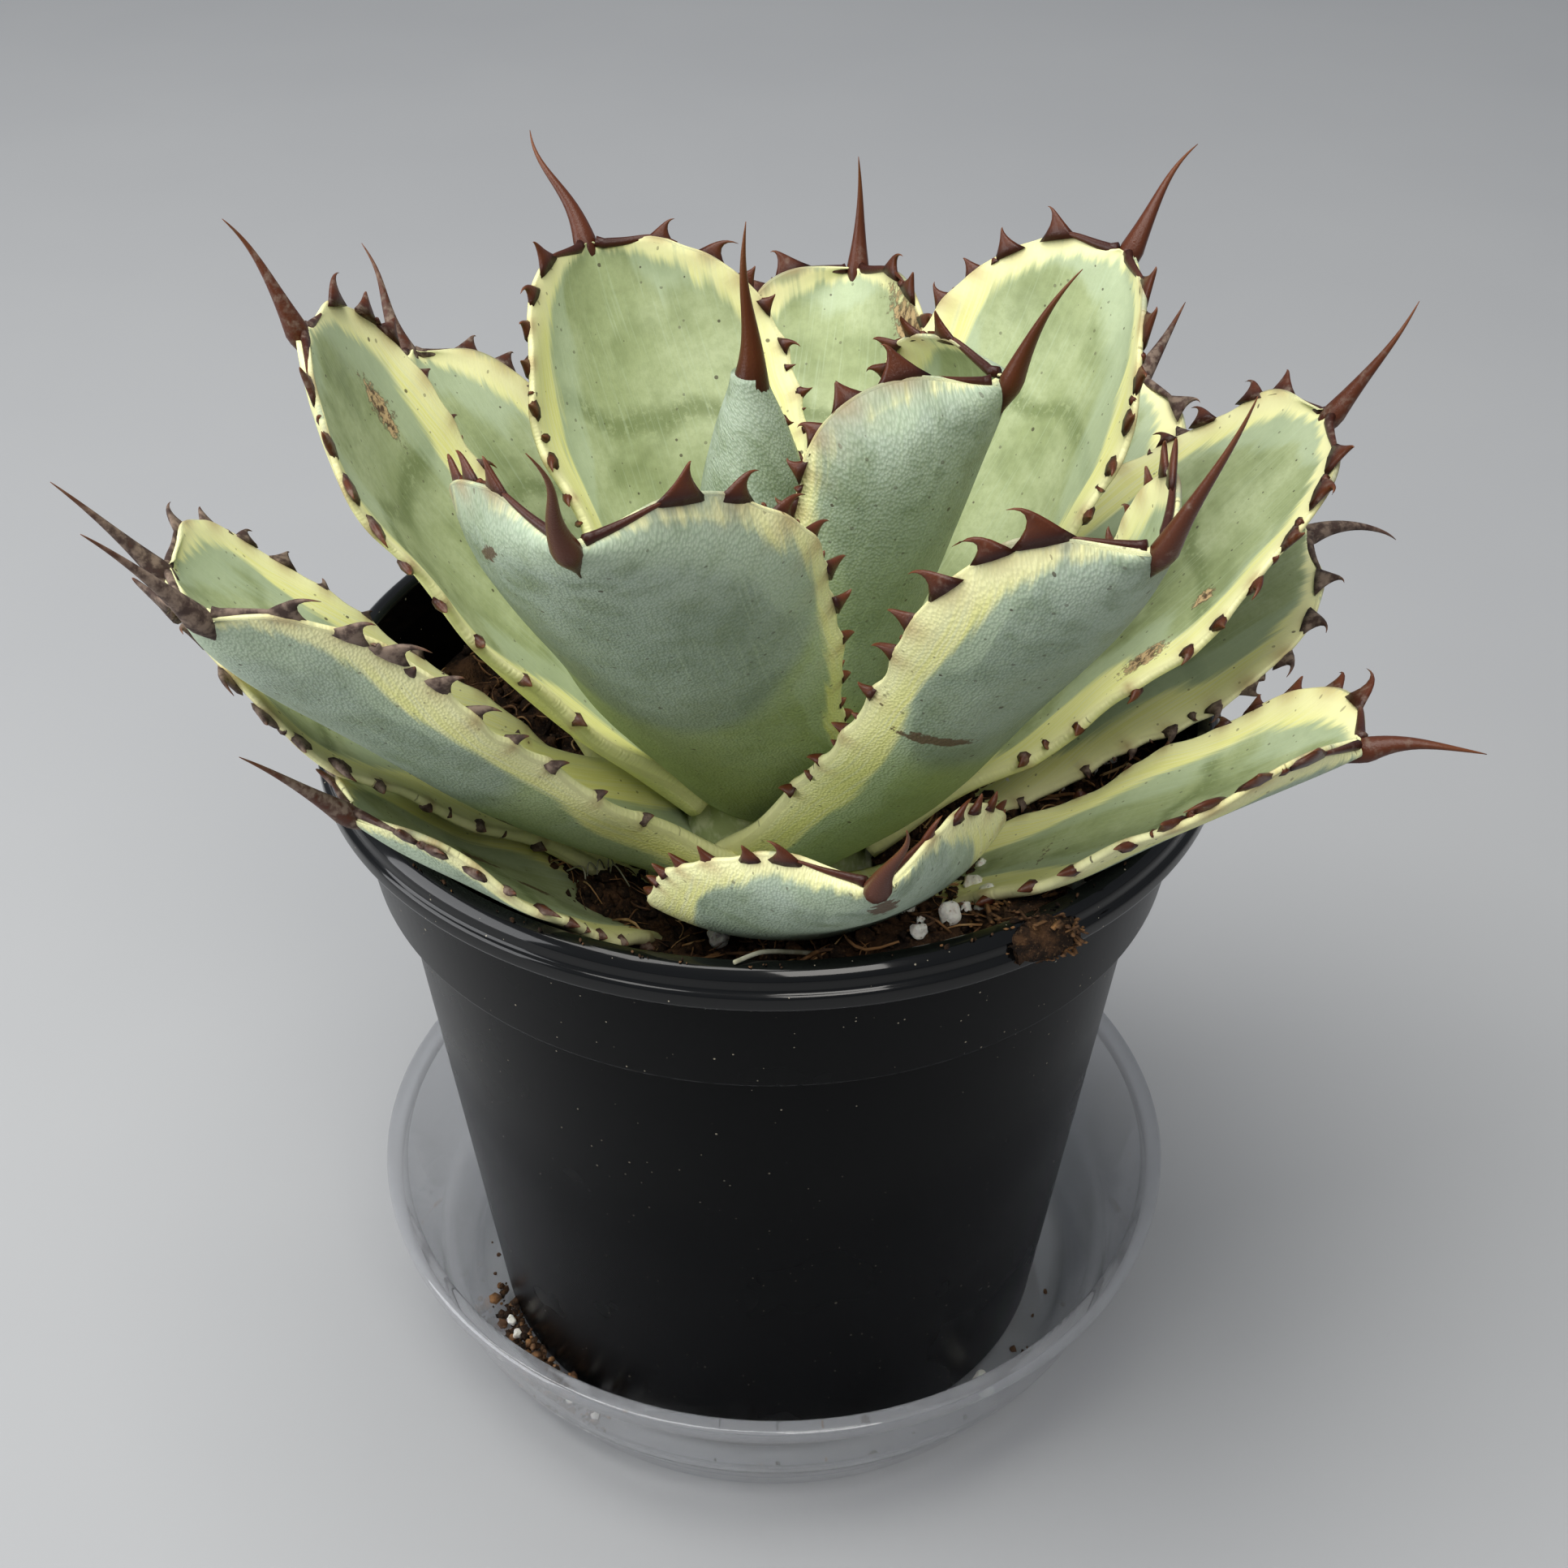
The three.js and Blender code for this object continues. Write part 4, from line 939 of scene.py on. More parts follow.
def potInnerRadius(height):
    c = potForm
    if height >= c["stepHeight"] + c["insideStep"][1]:
        share = (height - c["stepHeight"]) / (c["height"] - c["stepHeight"])
        return mix(c["collarRadius"], c["collarTopRadius"], share) - c["wall"]
    share = (height - potFoot) / (c["stepHeight"] - potFoot)
    return mix(c["footRadius"], c["bodyTopRadius"], share) - c["wall"]


def potProfile():
    c = potForm
    floorUnder = potFoot + c["recess"]
    crown = c["lipRadius"] - c["beadDepth"]
    under, over = (c["stepHeight"] + shift for shift in c["insideStep"])
    inside = (over, under, floorUnder + c["floor"])
    return [
        (0, floorUnder),
        (c["footRadius"] - c["footRing"] - c["wall"], floorUnder),
        (c["footRadius"] - c["footRing"], potFoot),
        (c["footRadius"] - c["footRound"], potFoot),
        (c["footRadius"], potFoot + c["footRound"]),
        (c["bodyTopRadius"], c["stepHeight"]),
        (c["collarRadius"], c["stepHeight"] + c["stepRise"]),
        (c["collarTopRadius"] - c["lipRound"], c["lipHeight"] - c["lipRound"]),
        (c["lipRadius"] - c["lipRound"], c["lipHeight"]),
        (c["lipRadius"], c["lipHeight"] + c["lipRound"]),
        (c["lipRadius"], c["lipHeight"] + c["beadHeight"] - c["lipRound"]),
        (crown, c["lipHeight"] + c["beadHeight"]),
        (crown, c["height"] - c["topRound"]),
        (crown - c["topRound"], c["height"]),
        (c["collarTopRadius"] - c["wall"], c["height"] - c["lipRound"]),
        *((potInnerRadius(height), height) for height in inside),
        (0, inside[-1]),
    ]


potLook = {
    "black": (0.0018, 0.002, 0.0022), "scuff": (0.03, 0.03, 0.03), "dust": (0.44, 0.39, 0.29),
    # edge: the grey of the painted highlight along the step line
    "edge": (0.10, 0.10, 0.10), "specular": 0.045, "coatRoughness": 0.07, "scuffShare": 0.04,
    "haze": {"Scale": 0.03, "Low": 0.2, "High": 0.9}, "grit": {"Scale": 0.35, "Share": 0.13, "Size": 0.07},
    "fine": {"Scale": 1.1, "Share": 0.06, "Size": 0.15}, "dustyFrom": (60.0, 125.0, 0.25, 1.0),
    "dustShare": 0.8,
    "scratch": {"stretch": (0.9, 0.9, 0.06), "detail": 4.0, "roughness": 0.7},
    # The step line's painted highlight: how far it reaches from the step, and in which patches
    "stepHighlightLine": (0.1, 0.6, 0.8, 0.0),
    "stepHighlightPatches": (0.3, 0.6), "glossyFrom": (129.6, 130.4, 0.0, 0.6), "roughness": 0.25,
    "hazeRoughness": 0.04,
    "dustRoughness": 0.4, "scratchHeight": 0.04, "relief": (0.25, 0.0003),
}


def makeBlackPlastic():
    look = potLook
    settings = {"Specular IOR Level": look["specular"], "Coat Roughness": look["coatRoughness"]}
    material, tree, shader = newMaterial("blackPlastic", settings)
    where = place(tree)
    height = node(tree, "SeparateXYZ", None, {0: where}).outputs[2]
    haze = maskFrom(patches, where, look["haze"])
    scratch = cloud(where, **look["scratch"])
    tone = blend(times(haze, look["scuffShare"]), look["black"], look["scuff"])
    dusty = step(height, look["dustyFrom"])
    grit = calc("MAXIMUM", maskFrom(specks, where, look["grit"]), maskFrom(specks, where, look["fine"]))
    grit = times(grit, dusty)
    tone = blend(times(grit, look["dustShare"]), tone, look["dust"])
    # A painted highlight: a lighter grey line along the step, in patches, where the edge catches the light
    wearAndHighlight = calc("ABSOLUTE", minus(height, potForm["stepHeight"] + potForm["stepRise"]))
    wearAndHighlight = times(step(wearAndHighlight, look["stepHighlightLine"]), step(scratch, look["stepHighlightPatches"]))
    feed(blend(wearAndHighlight, tone, look["edge"]), shader["Base Color"])
    feed(step(height, look["glossyFrom"]), shader["Coat Weight"])
    rough = plus(look["roughness"], times(haze, look["hazeRoughness"]))
    feed(plus(rough, times(grit, look["dustRoughness"])), shader["Roughness"])
    relief(shader, plus(times(scratch, look["scratchHeight"]), grit), *look["relief"])
    return material


# The pot, with its drain holes cut through the floor
def makePot():
    c = potForm
    shape = newShape()
    addTurned(shape, roundCorners(potProfile(), c["corner"]), c["sides"])
    pot = makePiece("nurseryPot", shape, [makeBlackPlastic()], "pot")
    holes = newShape()
    middle = potFoot + c["recess"] + c["floor"] / 2
    low, high, radius = middle - c["floor"], middle + c["floor"], c["drainRadius"]
    for i in range(c["drains"]):
        angle = (i + 0.5) / c["drains"] * fullTurn
        centre = (c["drainCircle"] * math.cos(angle), c["drainCircle"] * math.sin(angle))
        addTurned(holes, [(0, low), (radius, low), (radius, high), (0, high)], c["drainSides"], centre)
    cutter, _ = newMesh("drainHoles", holes)
    cut = pot.modifiers.new("drains", "BOOLEAN")
    cut.operation = "DIFFERENCE"
    cut.solver = "EXACT"
    cut.object = cutter
    pierced = bpy.data.meshes.new_from_object(pot.evaluated_get(bpy.context.evaluated_depsgraph_get()))
    pot.modifiers.clear()
    pot.data = pierced
    bpy.data.objects.remove(cutter)
    smooth(pierced)


saucerLook = {
    "clear": (0.86, 0.87, 0.89), "film": (0.46, 0.43, 0.38), "rim": (0.64, 0.65, 0.67), "wallGlass": 0.95,
    "rimGlass": 0.84, "ior": 1.03, "coatRoughness": 0.05,
    "smear": {"Scale": 0.05, "Low": 0.45, "High": 0.75},
    "grit": {"Scale": 0.4, "Share": 0.05, "Size": 0.12}, "smearShare": 0.12, "gritShare": 0.7,
    "roughness": 0.06,
    "smearRoughness": 0.12, "waves": {"scale": 0.05, "detail": 2.0}, "relief": (0.2, 0.001),
}


# Clear plastic bends little light where it is this thin: what shows is its milky haze and its shine
def makeClearPlastic(name, tint, glass):
    look = saucerLook
    settings = {"Transmission Weight": glass, "IOR": look["ior"], "Coat Weight": 1.0}
    settings["Coat Roughness"] = look["coatRoughness"]
    material, tree, shader = newMaterial(name, settings)
    where = place(tree)
    smear = maskFrom(patches, where, look["smear"])
    grit = maskFrom(specks, where, look["grit"])
    tone = blend(times(smear, look["smearShare"]), look[tint], look["film"])
    feed(blend(times(grit, look["gritShare"]), tone, look["film"]), shader["Base Color"])
    feed(plus(look["roughness"], times(smear, look["smearRoughness"])), shader["Roughness"])
    relief(shader, cloud(where, **look["waves"]), *look["relief"])
    return material


def makeSaucer():
    shape = newShape()
    profile = roundCorners(saucerProfile(), saucerForm["corner"])
    addTurned(shape, profile, saucerForm["sides"], saucerForm["centre"])
    points = np.vstack(shape["points"])
    rimFoot = saucerForm["height"] - saucerForm["rimDepth"] - saucerForm["corner"]
    shape["slots"] = [int(points[list(face), 2].min() > rimFoot) for face in shape["faces"]]
    wall = makeClearPlastic("clearPlastic", "clear", saucerLook["wallGlass"])
    rim = makeClearPlastic("frostedRim", "rim", saucerLook["rimGlass"])
    makePiece("clearSaucer", shape, [wall, rim], "saucer")


makePot()
makeSaucer()
print("pot and saucer made")


soilForm = {
    "level": 117, "crown": 1, "bump": 1.6, "longWave": (0.21, 0.17), "shortWave": (0.43, 0.38), "gap": 0.3,
    "pitRadius": 27, "pitLip": 4, "pitDepth": 20, "heap": 14, "heapAngle": math.radians(-64),
    "heapSpread": 0.55, "heapStart": 38, "heapReach": 28, "sides": 180, "rings": 74, "innermost": 0.02,
    "roughness": 1.7, "sink": 0.6, "edgeFade": 12, "grains": ((0.35, 0, 1), (0.9, 5, 0.6)),
}


# The soil's surface: waves, a heap against the front of the rim, and the pit round the stem
def soilHeight(x, y):
    c = soilForm
    long = math.sin(x * c["longWave"][0] + 1) * math.cos(y * c["longWave"][1])
    short = math.sin(x * c["shortWave"][0] - y * c["shortWave"][1])
    height = c["level"] + c["crown"] + c["bump"] * (long + short / 2)
    aside = (math.atan2(y, x) - c["heapAngle"]) / c["heapSpread"]
    outward = float(smoothStep((math.hypot(x, y) - c["heapStart"]) / c["heapReach"]))
    height += c["heap"] * outward * math.exp(-aside * aside)
    fromStem = math.hypot(x - plantAxis[0], y - plantAxis[1])
    pit = float(smoothStep((c["pitRadius"] + c["pitLip"] - fromStem) / c["pitRadius"]))
    return height - c["pitDepth"] * pit


def soilGrain(x, y):
    return sum(share * noise.noise(Vector((x, y, z)) * scale) for scale, z, share in soilForm["grains"])


soilLook = {
    "peat": (0.014, 0.008, 0.005), "coir": (0.075, 0.037, 0.017), "dry": (0.15, 0.085, 0.04),
    "fibre": (0.24, 0.12, 0.045), "straw": (0.42, 0.27, 0.12), "root": (0.40, 0.39, 0.30),
    "rootDark": (0.30, 0.29, 0.20), "stem": (0.30, 0.35, 0.16), "stemPale": (0.50, 0.53, 0.33),
    "roughness": 0.95, "specular": 0.2, "broad": {"scale": 0.22, "detail": 5.0, "roughness": 0.7},
    "coirEdge": (0.42, 0.62), "fine": {"scale": 1.6, "detail": 4.0, "roughness": 0.65},
    "dryEdge": (0.55, 0.72, 0.0, 0.75), "relief": (0.8, 0.0008),
    "fibreRoughness": 0.8, "fibreSpecular": 0.3, "fibreTone": {"scale": 0.3}, "fibreEdge": (0.4, 0.62),
    "fibreGrain": {"scale": 3.0}, "fibreRelief": (0.4, 0.0003),
}


def makeSoilMaterial():
    look = soilLook
    settings = {"Roughness": look["roughness"], "Specular IOR Level": look["specular"]}
    material, tree, shader = newMaterial("pottingSoil", settings)
    where = place(tree)
    fine = cloud(where, **look["fine"])
    tone = blend(step(cloud(where, **look["broad"]), look["coirEdge"]), look["peat"], look["coir"])
    feed(blend(step(fine, look["dryEdge"]), tone, look["dry"]), shader["Base Color"])
    relief(shader, fine, *look["relief"])
    return material


def makeFibreMaterial(name, dark, light):
    look = soilLook
    settings = {"Roughness": look["fibreRoughness"], "Specular IOR Level": look["fibreSpecular"]}
    material, tree, shader = newMaterial(name, settings)
    where = place(tree)
    amount = step(cloud(where, **look["fibreTone"]), look["fibreEdge"])
    feed(blend(amount, look[dark], look[light]), shader["Base Color"])
    relief(shader, cloud(where, **look["fibreGrain"]), *look["fibreRelief"])
    return material


perliteLook = {
    "white": (0.80, 0.78, 0.70), "grime": (0.34, 0.27, 0.18), "roughness": 0.9, "subsurface": 0.1,
    "subsurfaceScale": 0.001, "dirty": {"Scale": 0.5, "Low": 0.5, "High": 0.75}, "dirtyShare": 0.55,
    "pores": {"Scale": 2.2, "Share": 0.35, "Size": 0.3}, "poreShare": 0.5,
    "lumps": {"scale": 1.2, "detail": 4.0, "roughness": 0.65}, "relief": (0.8, 0.0005),
}


def makePerliteMaterial():
    look = perliteLook
    settings = {"Roughness": look["roughness"], "Subsurface Weight": look["subsurface"]}
    settings["Subsurface Scale"] = look["subsurfaceScale"]
    material, tree, shader = newMaterial("perlite", settings)
    where = place(tree)
    dirty = times(maskFrom(patches, where, look["dirty"]), look["dirtyShare"])
    pores = times(maskFrom(specks, where, look["pores"]), look["poreShare"])
    tone = blend(dirty, look["white"], look["grime"])
    feed(blend(pores, tone, look["grime"]), shader["Base Color"])
    relief(shader, minus(cloud(where, **look["lumps"]), pores), *look["relief"])
    return material


# A ball of faces to be squeezed and knocked into grains
def ballForm(level):
    work = bmesh.new()
    bmesh.ops.create_icosphere(work, subdivisions=level, radius=1)
    points = np.array([v.co for v in work.verts])
    faces = np.array([[v.index for v in face.verts] for face in work.faces])
    work.free()
    return points, faces


grainForm = {"lump": 1.3, "lumpShift": 3.7, "smallLevel": 1, "largeLevel": 3}
smallGrain = ballForm(grainForm["smallLevel"])
largeGrain = ballForm(grainForm["largeLevel"])


def addGrain(shape, ball, centre, size, squeeze, knock, seed, slot=0):
    points, faces = ball
    shift = Vector((seed * grainForm["lumpShift"], 0, 0))
    lumps = np.array([noise.noise(Vector(p) * grainForm["lump"] + shift) for p in points])
    body = points * (1 + knock * lumps)[:, None] * size * np.array(squeeze)
    axes = ((0.1, "X"), (0.2, "Y"), (0.3, "Z"))
    turns = [Matrix.Rotation(draw(seed + k) * fullTurn, 3, axis) for k, axis in axes]
    turn = np.array(turns[0] @ turns[1] @ turns[2])
    addPart(shape, body @ turn.T + np.array(centre), [faces], slot)


# Points spread evenly over the open soil inside the pot
def soilSpot(seed, inner, outer=0.97):
    edge = potInnerRadius(soilForm["level"]) - soilForm["gap"]
    radius = edge * math.sqrt(mix(inner * inner, outer * outer, draw(seed)))
    angle = draw(seed + 0.37) * fullTurn
    return radius * math.cos(angle), radius * math.sin(angle)


def makeSoilBed():
    c = soilForm
    edge = potInnerRadius(c["level"]) - c["gap"]
    angle = np.arange(c["sides"]) / c["sides"] * fullTurn
    foot = potFoot + potForm["recess"] + potForm["floor"] + c["gap"]
    rings = []
    for height in (foot, potForm["stepHeight"] + potForm["insideStep"][0]):
        radius = potInnerRadius(height) - c["gap"]
        rings.append([(radius * math.cos(a), radius * math.sin(a), height) for a in angle])
    for share in np.linspace(1, c["innermost"], c["rings"]):
        ring = []
        rough = c["roughness"] * min(1, (1 - share) * c["edgeFade"])
        for a in angle:
            x, y = edge * share * math.cos(a), edge * share * math.sin(a)
            ring.append((x, y, soilHeight(x, y) + rough * soilGrain(x, y) - c["sink"]))
        rings.append(ring)
    shape = newShape()
    addLoft(shape, np.array(rings))
    return shape


# Each scatter starts with its count, its first seed and the gap between its seeds
crumbForm = {"seeds": (3400, 5000, 1.7), "inner": 0.15, "size": (0.5, 2.0), "flat": (0.5, 0.9),
             "low": (0.4, 0.8),
             "sizePower": 3, "lift": 0.15, "knock": 0.7}
fibreForm = {"seeds": (760, 9000, 2.3), "inner": 0.2, "length": (3, 12), "curl": (-1.6, 1.6), "rows": 7,
             "clear": 2,
             "arch": (0.6, 4.8), "lift": 0.5, "thin": (0.12, 0.42), "taper": 1.1, "flat": 0.6, "straw": 0.8,
             "sides": 4}
perliteForm = {"seeds": (60, 12000, 3.1), "inner": 0.3, "size": (0.7, 2.2), "sizePower": 1.5,
               "squeeze": (1, 0.85, 0.8),
               "knock": 0.45, "lift": 0.35, "spotLift": 0.45, "spotSeed": 3}
# Perlite that shows in front of and beside the leaves: x, y and half-size
perliteSpots = (
    (21.9, -36.6, 2.3), (17.4, -46.7, 2.4), (20.9, -48.2, 1.9), (5.3, -45.2, 1.8), (1.2, -48.7, 1.4),
    (-8.1, -48.7, 2.0), (32.2, -41.1, 1.9), (54.4, 0.3, 2.7), (59.0, 2.7, 3.0), (40.9, -6.8, 1.7),
    (44.1, 2.7, 2.0), (50.0, -3.5, 1.3), (43.5, -41.0, 2.4), (48.5, -40.5, 2.0), (16.5, -40.0, 1.2),
    (33.5, -50.0, 2.2), (27.0, -56.5, 1.9), (22.0, -61.5, 1.5), (50.0, -47.0, 1.7), (12.0, -50.5, 1.0),
    (-42.0, -33.0, 1.3), (-46.0, 32.0, 1.6),
)


def addFibre(shape, seed):
    c = fibreForm
    x, y = soilSpot(seed, c["inner"])
    heading = draw(seed + 0.5) * fullTurn
    length = drawIn(seed + 0.6, c["length"], 2)
    bend = drawIn(seed + 0.7, c["curl"]) * length
    t = np.linspace(-0.5, 0.5, c["rows"])
    px = x + length * t * math.cos(heading) - bend * t * t * math.sin(heading)
    py = y + length * t * math.sin(heading) + bend * t * t * math.cos(heading)
    reach = potInnerRadius(soilForm["level"]) - c["clear"]
    inside = np.minimum(1, reach / np.maximum(np.hypot(px, py), 1))
    px, py = px * inside, py * inside
    arch = drawIn(seed + 0.75, c["arch"]) * (0.25 - t * t)
    pz = [soilHeight(a, b) + c["lift"] + lift for a, b, lift in zip(px, py, arch)]
    thin = drawIn(seed + 0.85, c["thin"], 2)
    slot = int(draw(seed + 0.95) > c["straw"])
    path = np.stack([px, py, pz], -1)
    addTube(shape, path, thin * (c["taper"] - abs(t)), thin * c["flat"], (0, 0, 1), c["sides"], slot)


soil = makeSoilMaterial()
coir = makeFibreMaterial("coirFibre", "coir", "fibre")
straw = makeFibreMaterial("dryStraw", "fibre", "straw")
white = makePerliteMaterial()


def makeSoil():
    makePiece("soilBed", makeSoilBed(), [soil], "soil")
    crumbs = newShape()
    c = crumbForm
    for seed in seedRow(*c["seeds"]):
        x, y = soilSpot(seed, c["inner"])
        size = drawIn(seed + 0.8, c["size"], c["sizePower"])
        squeeze = (1, drawIn(seed + 0.6, c["flat"]), drawIn(seed + 0.9, c["low"]))
        centre = (x, y, soilHeight(x, y) + size * c["lift"])
        addGrain(crumbs, smallGrain, centre, size, squeeze, c["knock"], seed)
    makePiece("soilCrumbs", crumbs, [soil])
    fibres = newShape()
    for seed in seedRow(*fibreForm["seeds"]):
        addFibre(fibres, seed)
    makePiece("soilFibres", fibres, [coir, straw])
    c = perliteForm
    grains = [(x, y, size, c["spotLift"], x + y * c["spotSeed"]) for x, y, size in perliteSpots]
    for seed in seedRow(*c["seeds"]):
        size = drawIn(seed + 0.4, c["size"], c["sizePower"])
        grains.append((*soilSpot(seed, c["inner"]), size, c["lift"], seed))
    perlite = newShape()
    for x, y, size, lift, seed in grains:
        centre = (x, y, soilHeight(x, y) + size * lift)
        addGrain(perlite, largeGrain, centre, size, c["squeeze"], c["knock"], seed)
    makePiece("perliteGrains", perlite, [white])


barkForm = {
    "path": ((30, -40.5, 121), (34, -47, 124.5), (37.5, -54.5, 128.5), (39, -60.5, 132), (40, -66, 135.5)),
    "wide": (3.0, 6.0, 7.6, 7.0, 4.6), "thick": (2.0, 3.6, 4.4, 4.0, 2.8), "end": 0.8, "sides": 48,
    "rows": 56,
    "hint": (1, 0.4, 0), "lump": 1.6, "lumpScale": 0.35, "ridge": 1.2, "ridgeScale": (1.6, 0.7, 0.7),
    "turn": 0.8,
    "strands": (330, 15000, 1.9), "strandSpan": (-3, 6), "strandStray": 5, "strandReach": (-0.5, 0.6),
    "strandRows": 5, "strandLength": (0.4, 1.0), "strandWide": (0.2, 0.5), "strandThick": 0.18,
    "strandSides": 4,
    "seed": 7,
}
rootForm = {
    "path": ((-5.1, -73.3, 137.4), (-1.5, -70.2, 136.4), (1.4, -66.4, 133.5), (4.6, -61.0, 129.0),
             (7.6, -55.7, 124.0), (10.4, -49.5, 120.5), (13, -43.5, 119.5)),
    "radius": 0.45, "rows": 40, "wave": 0.25, "waveTurn": 9, "thinEnd": 0.7, "flat": 0.8, "sides": 8,
}
hairForm = {"seeds": (9, 16000, 2.7), "x": (-34, -12), "y": (-34, -22), "bend": (-6, 6), "reach": 5,
            "rows": 9,
            "lift": 1.2, "arch": 2.5, "archTurn": 3.1, "radius": 0.14, "sides": 5}


def smoothPath(points, count):
    points = np.array(points, float)
    t = np.linspace(0, len(points) - 1, count)
    path = np.stack([np.interp(t, np.arange(len(points)), points[:, k]) for k in range(3)], -1)
    for _ in range(3):
        path[1:-1] = (path[:-2] + 2 * path[1:-1] + path[2:]) / 4
    return path


# A lump of fibrous bark that leans from the soil over the rim
def makeBark():
    form = barkForm
    rows = form["rows"]
    path = smoothPath(form["path"], rows)
    t = np.linspace(0, len(form["wide"]) - 1, rows)
    wide, thick = (np.interp(t, range(len(form[key])), form[key]) for key in ("wide", "thick"))
    wide[0] = wide[-1] = thick[0] = thick[-1] = form["end"]
    lump = newShape()
    addTube(lump, path, wide, thick, form["hint"], form["sides"])
    body = lump["points"][0]
    noise.seed_set(form["seed"])
    for k, p in enumerate(body):
        spot = Vector(p)
        shift = form["lump"] * noise.noise(spot * form["lumpScale"])
        shift += form["ridge"] * noise.noise(spot * Vector(form["ridgeScale"]))
        body[k] += shift * np.array(noise.noise_vector(spot * form["turn"]).normalized())
    back, ahead = form["strandSpan"]
    for seed in seedRow(*form["strands"]):
        row = int(draw(seed) * (rows - ahead)) - back
        angle = draw(seed + 0.4) * fullTurn
        foot = path[row] + np.array([math.cos(angle) * wide[row], 0, math.sin(angle) * thick[row]])
        run = path[min(row + ahead, rows - 1)] - path[row + back]
        run = run + np.array([draw(seed + k) - 0.5 for k in (0.1, 0.2, 0.3)]) * form["strandStray"]
        t = np.linspace(*form["strandReach"], form["strandRows"])[:, None]
        strand = foot + run * t * drawIn(seed + 0.9, form["strandLength"])
        wideStrand = drawIn(seed + 0.6, form["strandWide"])
        addTube(lump, strand, wideStrand, form["strandThick"], (1, 0, 0), form["strandSides"], 1)
    makePiece("barkLump", lump, [soil, coir])


# One pale root that hangs from the front leaf over the rim, and hair roots on the soil
def makeRoots():
    form = rootForm
    rows = form["rows"]
    root = newShape()
    path = smoothPath(form["path"], rows)
    path[:, 2] += form["wave"] * np.sin(np.linspace(0, form["waveTurn"], rows))
    wide = form["radius"] * np.linspace(form["thinEnd"], 1, rows)
    addTube(root, path, wide, form["radius"] * form["flat"], (1, 0, 0), form["sides"])
    form = hairForm
    for seed in seedRow(*form["seeds"]):
        x, y = drawIn(seed, form["x"]), drawIn(seed + 0.3, form["y"])
        t = np.linspace(0, 1, form["rows"])
        across = drawIn(seed + 0.4, form["bend"]) * t * t
        hair = np.stack([x + across, y + form["reach"] * t * drawIn(seed + 0.6, (-1, 1)), 0 * t], -1)
        arch = form["lift"] + form["arch"] * np.sin(t * form["archTurn"])
        hair[:, 2] = [soilHeight(a, b) + lift for a, b, lift in zip(hair[:, 0], hair[:, 1], arch)]
        addTube(root, hair, form["radius"], form["radius"], (0, 0, 1), form["sides"])
    makePiece("looseRoots", root, [makeFibreMaterial("paleRoot", "rootDark", "root")])


# What fell on the rim and the lip, into a pile in the saucer, and all round in it
rimCrumbs = {"seeds": (64, 17000, 1.3), "angles": (-2.9, 0.1), "size": (0.18, 0.6), "lift": 0.3,
             "ledges": ((73.4, 137), (73.9, 136.9)), "squeeze": (1, 0.7, 0.5), "coirEvery": 3}
pileCrumbs = {"seeds": (420, 18000, 1.9), "angles": (194, 240), "radii": (54.2, 58.6), "size": (0.3, 1.3),
              "lift": 0.5, "heap": (0.0, 5.0), "heapEdge": 59, "heapWidth": 6, "coirShare": 0.6}
strayCrumbs = {"seeds": (60, 19000, 2.9), "radii": (54.6, 57.5), "size": (0.3, 1.0), "lift": 0.4,
               "coirEvery": 2}
fallenForm = {"squeeze": (1, 0.8, 0.7), "knock": 0.6}
strayPerlite = {"spot": (40.5, -39.5), "size": 1.9, "squeeze": (1, 0.9, 0.9), "knock": 0.3, "seed": 77}
pilePerlite = {"seeds": (7, 20000, 1), "angles": (200, 235), "radius": 56.5, "lift": 2.2,
               "size": (0.6, 1.2),
               "squeeze": (1, 0.9, 0.8), "knock": 0.4}


# A place in the saucer at a height over its floor
def inSaucer(angle, radius, lift):
    x, y = saucerForm["centre"]
    return x + radius * math.cos(angle), y + radius * math.sin(angle), saucerForm["wall"] + lift


def makeFallen():
    fallen = newShape()
    knock = fallenForm["knock"]
    c = rimCrumbs
    for i, seed in enumerate(seedRow(*c["seeds"])):
        angle = drawIn(seed, c["angles"])
        size = drawIn(seed + 0.2, c["size"], 2)
        ledge, drop = c["ledges"][i % 2]
        centre = (ledge * math.cos(angle), ledge * math.sin(angle), drop + size * c["lift"])
        addGrain(fallen, smallGrain, centre, size, c["squeeze"], knock, seed, int(i % c["coirEvery"] == 0))
    c = pileCrumbs
    for seed in seedRow(*c["seeds"]):
        angle = math.radians(mix(*c["angles"], (draw(seed) + draw(seed + 0.1)) / 2))
        radius = drawIn(seed + 0.4, c["radii"])
        size = drawIn(seed + 0.2, c["size"], 2)
        heap = drawIn(seed + 0.5, c["heap"]) * (c["heapEdge"] - radius) / c["heapWidth"]
        centre = inSaucer(angle, radius, size * c["lift"] + heap)
        slot = int(draw(seed + 0.7) > c["coirShare"])
        addGrain(fallen, smallGrain, centre, size, fallenForm["squeeze"], knock, seed, slot)
    c = strayCrumbs
    for i, seed in enumerate(seedRow(*c["seeds"])):
        size = drawIn(seed + 0.2, c["size"], 2)
        centre = inSaucer(draw(seed) * fullTurn, drawIn(seed + 0.4, c["radii"]), size * c["lift"])
        addGrain(fallen, smallGrain, centre, size, fallenForm["squeeze"], knock, seed, i % c["coirEvery"])
    makePiece("fallenCrumbs", fallen, [soil, coir])
    stray = newShape()
    c = strayPerlite
    centre = (*c["spot"], saucerForm["wall"] + c["size"])
    addGrain(stray, largeGrain, centre, c["size"], c["squeeze"], c["knock"], c["seed"])
    c = pilePerlite
    for seed in seedRow(*c["seeds"]):
        centre = inSaucer(math.radians(drawIn(seed, c["angles"])), c["radius"], c["lift"])
        addGrain(stray, largeGrain, centre, drawIn(seed + 0.3, c["size"]), c["squeeze"], c["knock"], seed)
    makePiece("fallenPerlite", stray, [white])


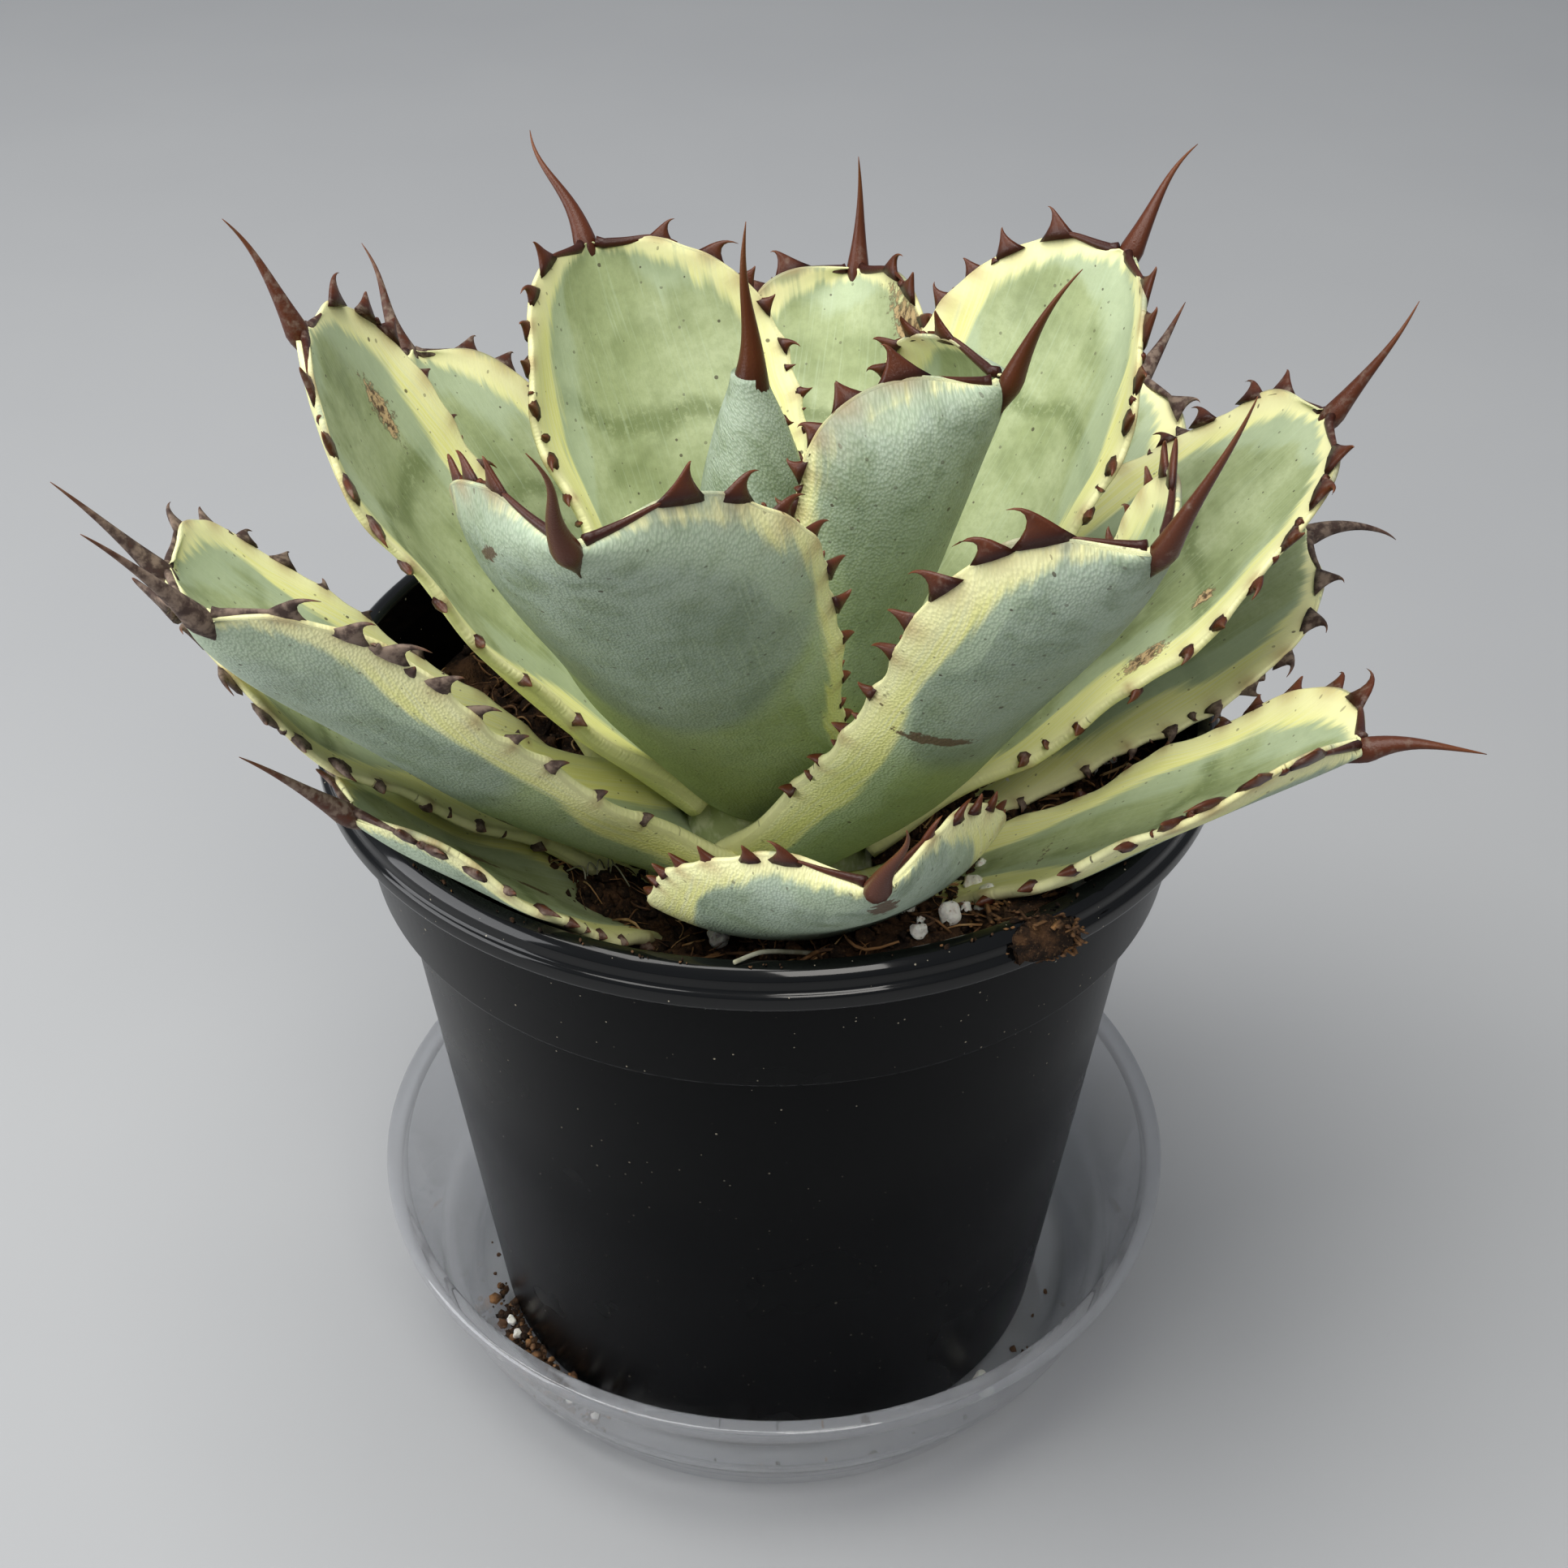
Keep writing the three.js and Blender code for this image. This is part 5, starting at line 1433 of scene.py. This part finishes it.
def makeStem():
    c = stemForm
    shape = newShape()
    profile = [(0, c["bottom"]), (c["rootRadius"], c["bottom"])]
    for height in np.linspace(c["bottom"] + c["toe"], c["top"] - c["shoulder"], c["rows"]):
        profile.append((stemRadius(height) + c["ridge"] * math.sin(height * c["ridgeTurn"]), height))
    profile += [(c["topRadius"] - c["shoulder"], c["top"]), (0, c["top"])]
    addTurned(shape, profile, c["sides"], plantAxis)
    makePiece("agaveStem", shape, [makeFibreMaterial("stemSkin", "stem", "stemPale")], "stem")


makeStem()
makeSoil()
makeBark()
makeRoots()
makeFallen()
print("soil and stem made")


stageLook = {
    "floor": (0.33, 0.335, 0.345), "floorPale": (0.37, 0.375, 0.38), "floorSize": 12.0, "floorDrop": 0.0002,
    "roughness": 0.85, "floorNoise": {"scale": 6.0}, "sky": (0.80, 0.86, 0.95), "skyStrength": 0.36,
}


def makeFloor():
    look = stageLook
    size = look["floorSize"] / 2
    mesh = bpy.data.meshes.new("floor")
    corners = [(x * size, y * size, -look["floorDrop"]) for x, y in ((-1, -1), (1, -1), (1, 1), (-1, 1))]
    mesh.from_pydata(corners, [], [(0, 1, 2, 3)])
    floor = bpy.data.objects.new("floor", mesh)
    bpy.context.scene.collection.objects.link(floor)
    material, tree, shader = newMaterial("paleFloor", {"Roughness": look["roughness"]})
    amount = cloud(node(tree, "TexCoord").outputs["Object"], **look["floorNoise"])
    feed(blend(amount, look["floor"], look["floorPale"]), shader["Base Color"])
    mesh.materials.append(material)


# Position, aim, size, strength in watts and colour of each soft light
lightForms = {
    "topLight": ((-0.28, -0.1, 1.3), (0, 0, 0.12), 1.0, 18, (1.0, 0.985, 0.95)),
    "sideLight": ((-1.0, -0.3, 0.4), (0, 0, 0.14), 0.8, 9, (0.97, 0.98, 1.0)),
    "frontLight": ((0.22, -0.75, 1.0), (0, -0.03, 0.12), 0.4, 4, (1.0, 0.97, 0.92)),
}


def makeLights():
    for name, (where, aim, size, power, tint) in lightForms.items():
        light = bpy.data.lights.new(name, "AREA")
        light.shape = "SQUARE"
        light.size = size
        light.energy = power
        light.color = tint
        lamp = bpy.data.objects.new(name, light)
        lamp.location = where
        lamp.rotation_euler = (Vector(aim) - Vector(where)).to_track_quat("-Z", "Y").to_euler()
        bpy.context.scene.collection.objects.link(lamp)
    world = bpy.data.worlds.new("softSky")
    world.use_nodes = True
    sky = world.node_tree.nodes["Background"].inputs
    sky["Color"].default_value = (*stageLook["sky"], 1)
    sky["Strength"].default_value = stageLook["skyStrength"]
    bpy.context.scene.world = world


# The photograph's viewpoint: metres, degrees, and millimetres for the lens
cameraForm = {"where": (0, -0.318, 0.3504), "pitch": 36.53, "yaw": 0.43, "roll": 0.42, "lens": 52,
              "sensor": 36,
              "nearest": 0.01}


def makeCamera():
    form = cameraForm
    pitch, yaw, roll = (math.radians(form[key]) for key in ("pitch", "yaw", "roll"))
    ahead = Vector((math.sin(yaw) * math.cos(pitch), math.cos(yaw) * math.cos(pitch), -math.sin(pitch)))
    level = Vector((math.cos(yaw), -math.sin(yaw), 0))
    above = level.cross(ahead)
    right = math.cos(roll) * level + math.sin(roll) * above
    up = -math.sin(roll) * level + math.cos(roll) * above
    camera = bpy.data.cameras.new("photoCamera")
    camera.lens = form["lens"]
    camera.sensor_width = form["sensor"]
    camera.clip_start = form["nearest"]
    viewer = bpy.data.objects.new("photoCamera", camera)
    turn = Matrix((right, up, -ahead)).transposed().to_4x4()
    viewer.matrix_world = Matrix.Translation(form["where"]) @ turn
    bpy.context.scene.collection.objects.link(viewer)
    bpy.context.scene.camera = viewer


makeFloor()
makeLights()
makeCamera()
bpy.context.scene.view_settings.view_transform = "Standard"
print("floor, lights and camera made")
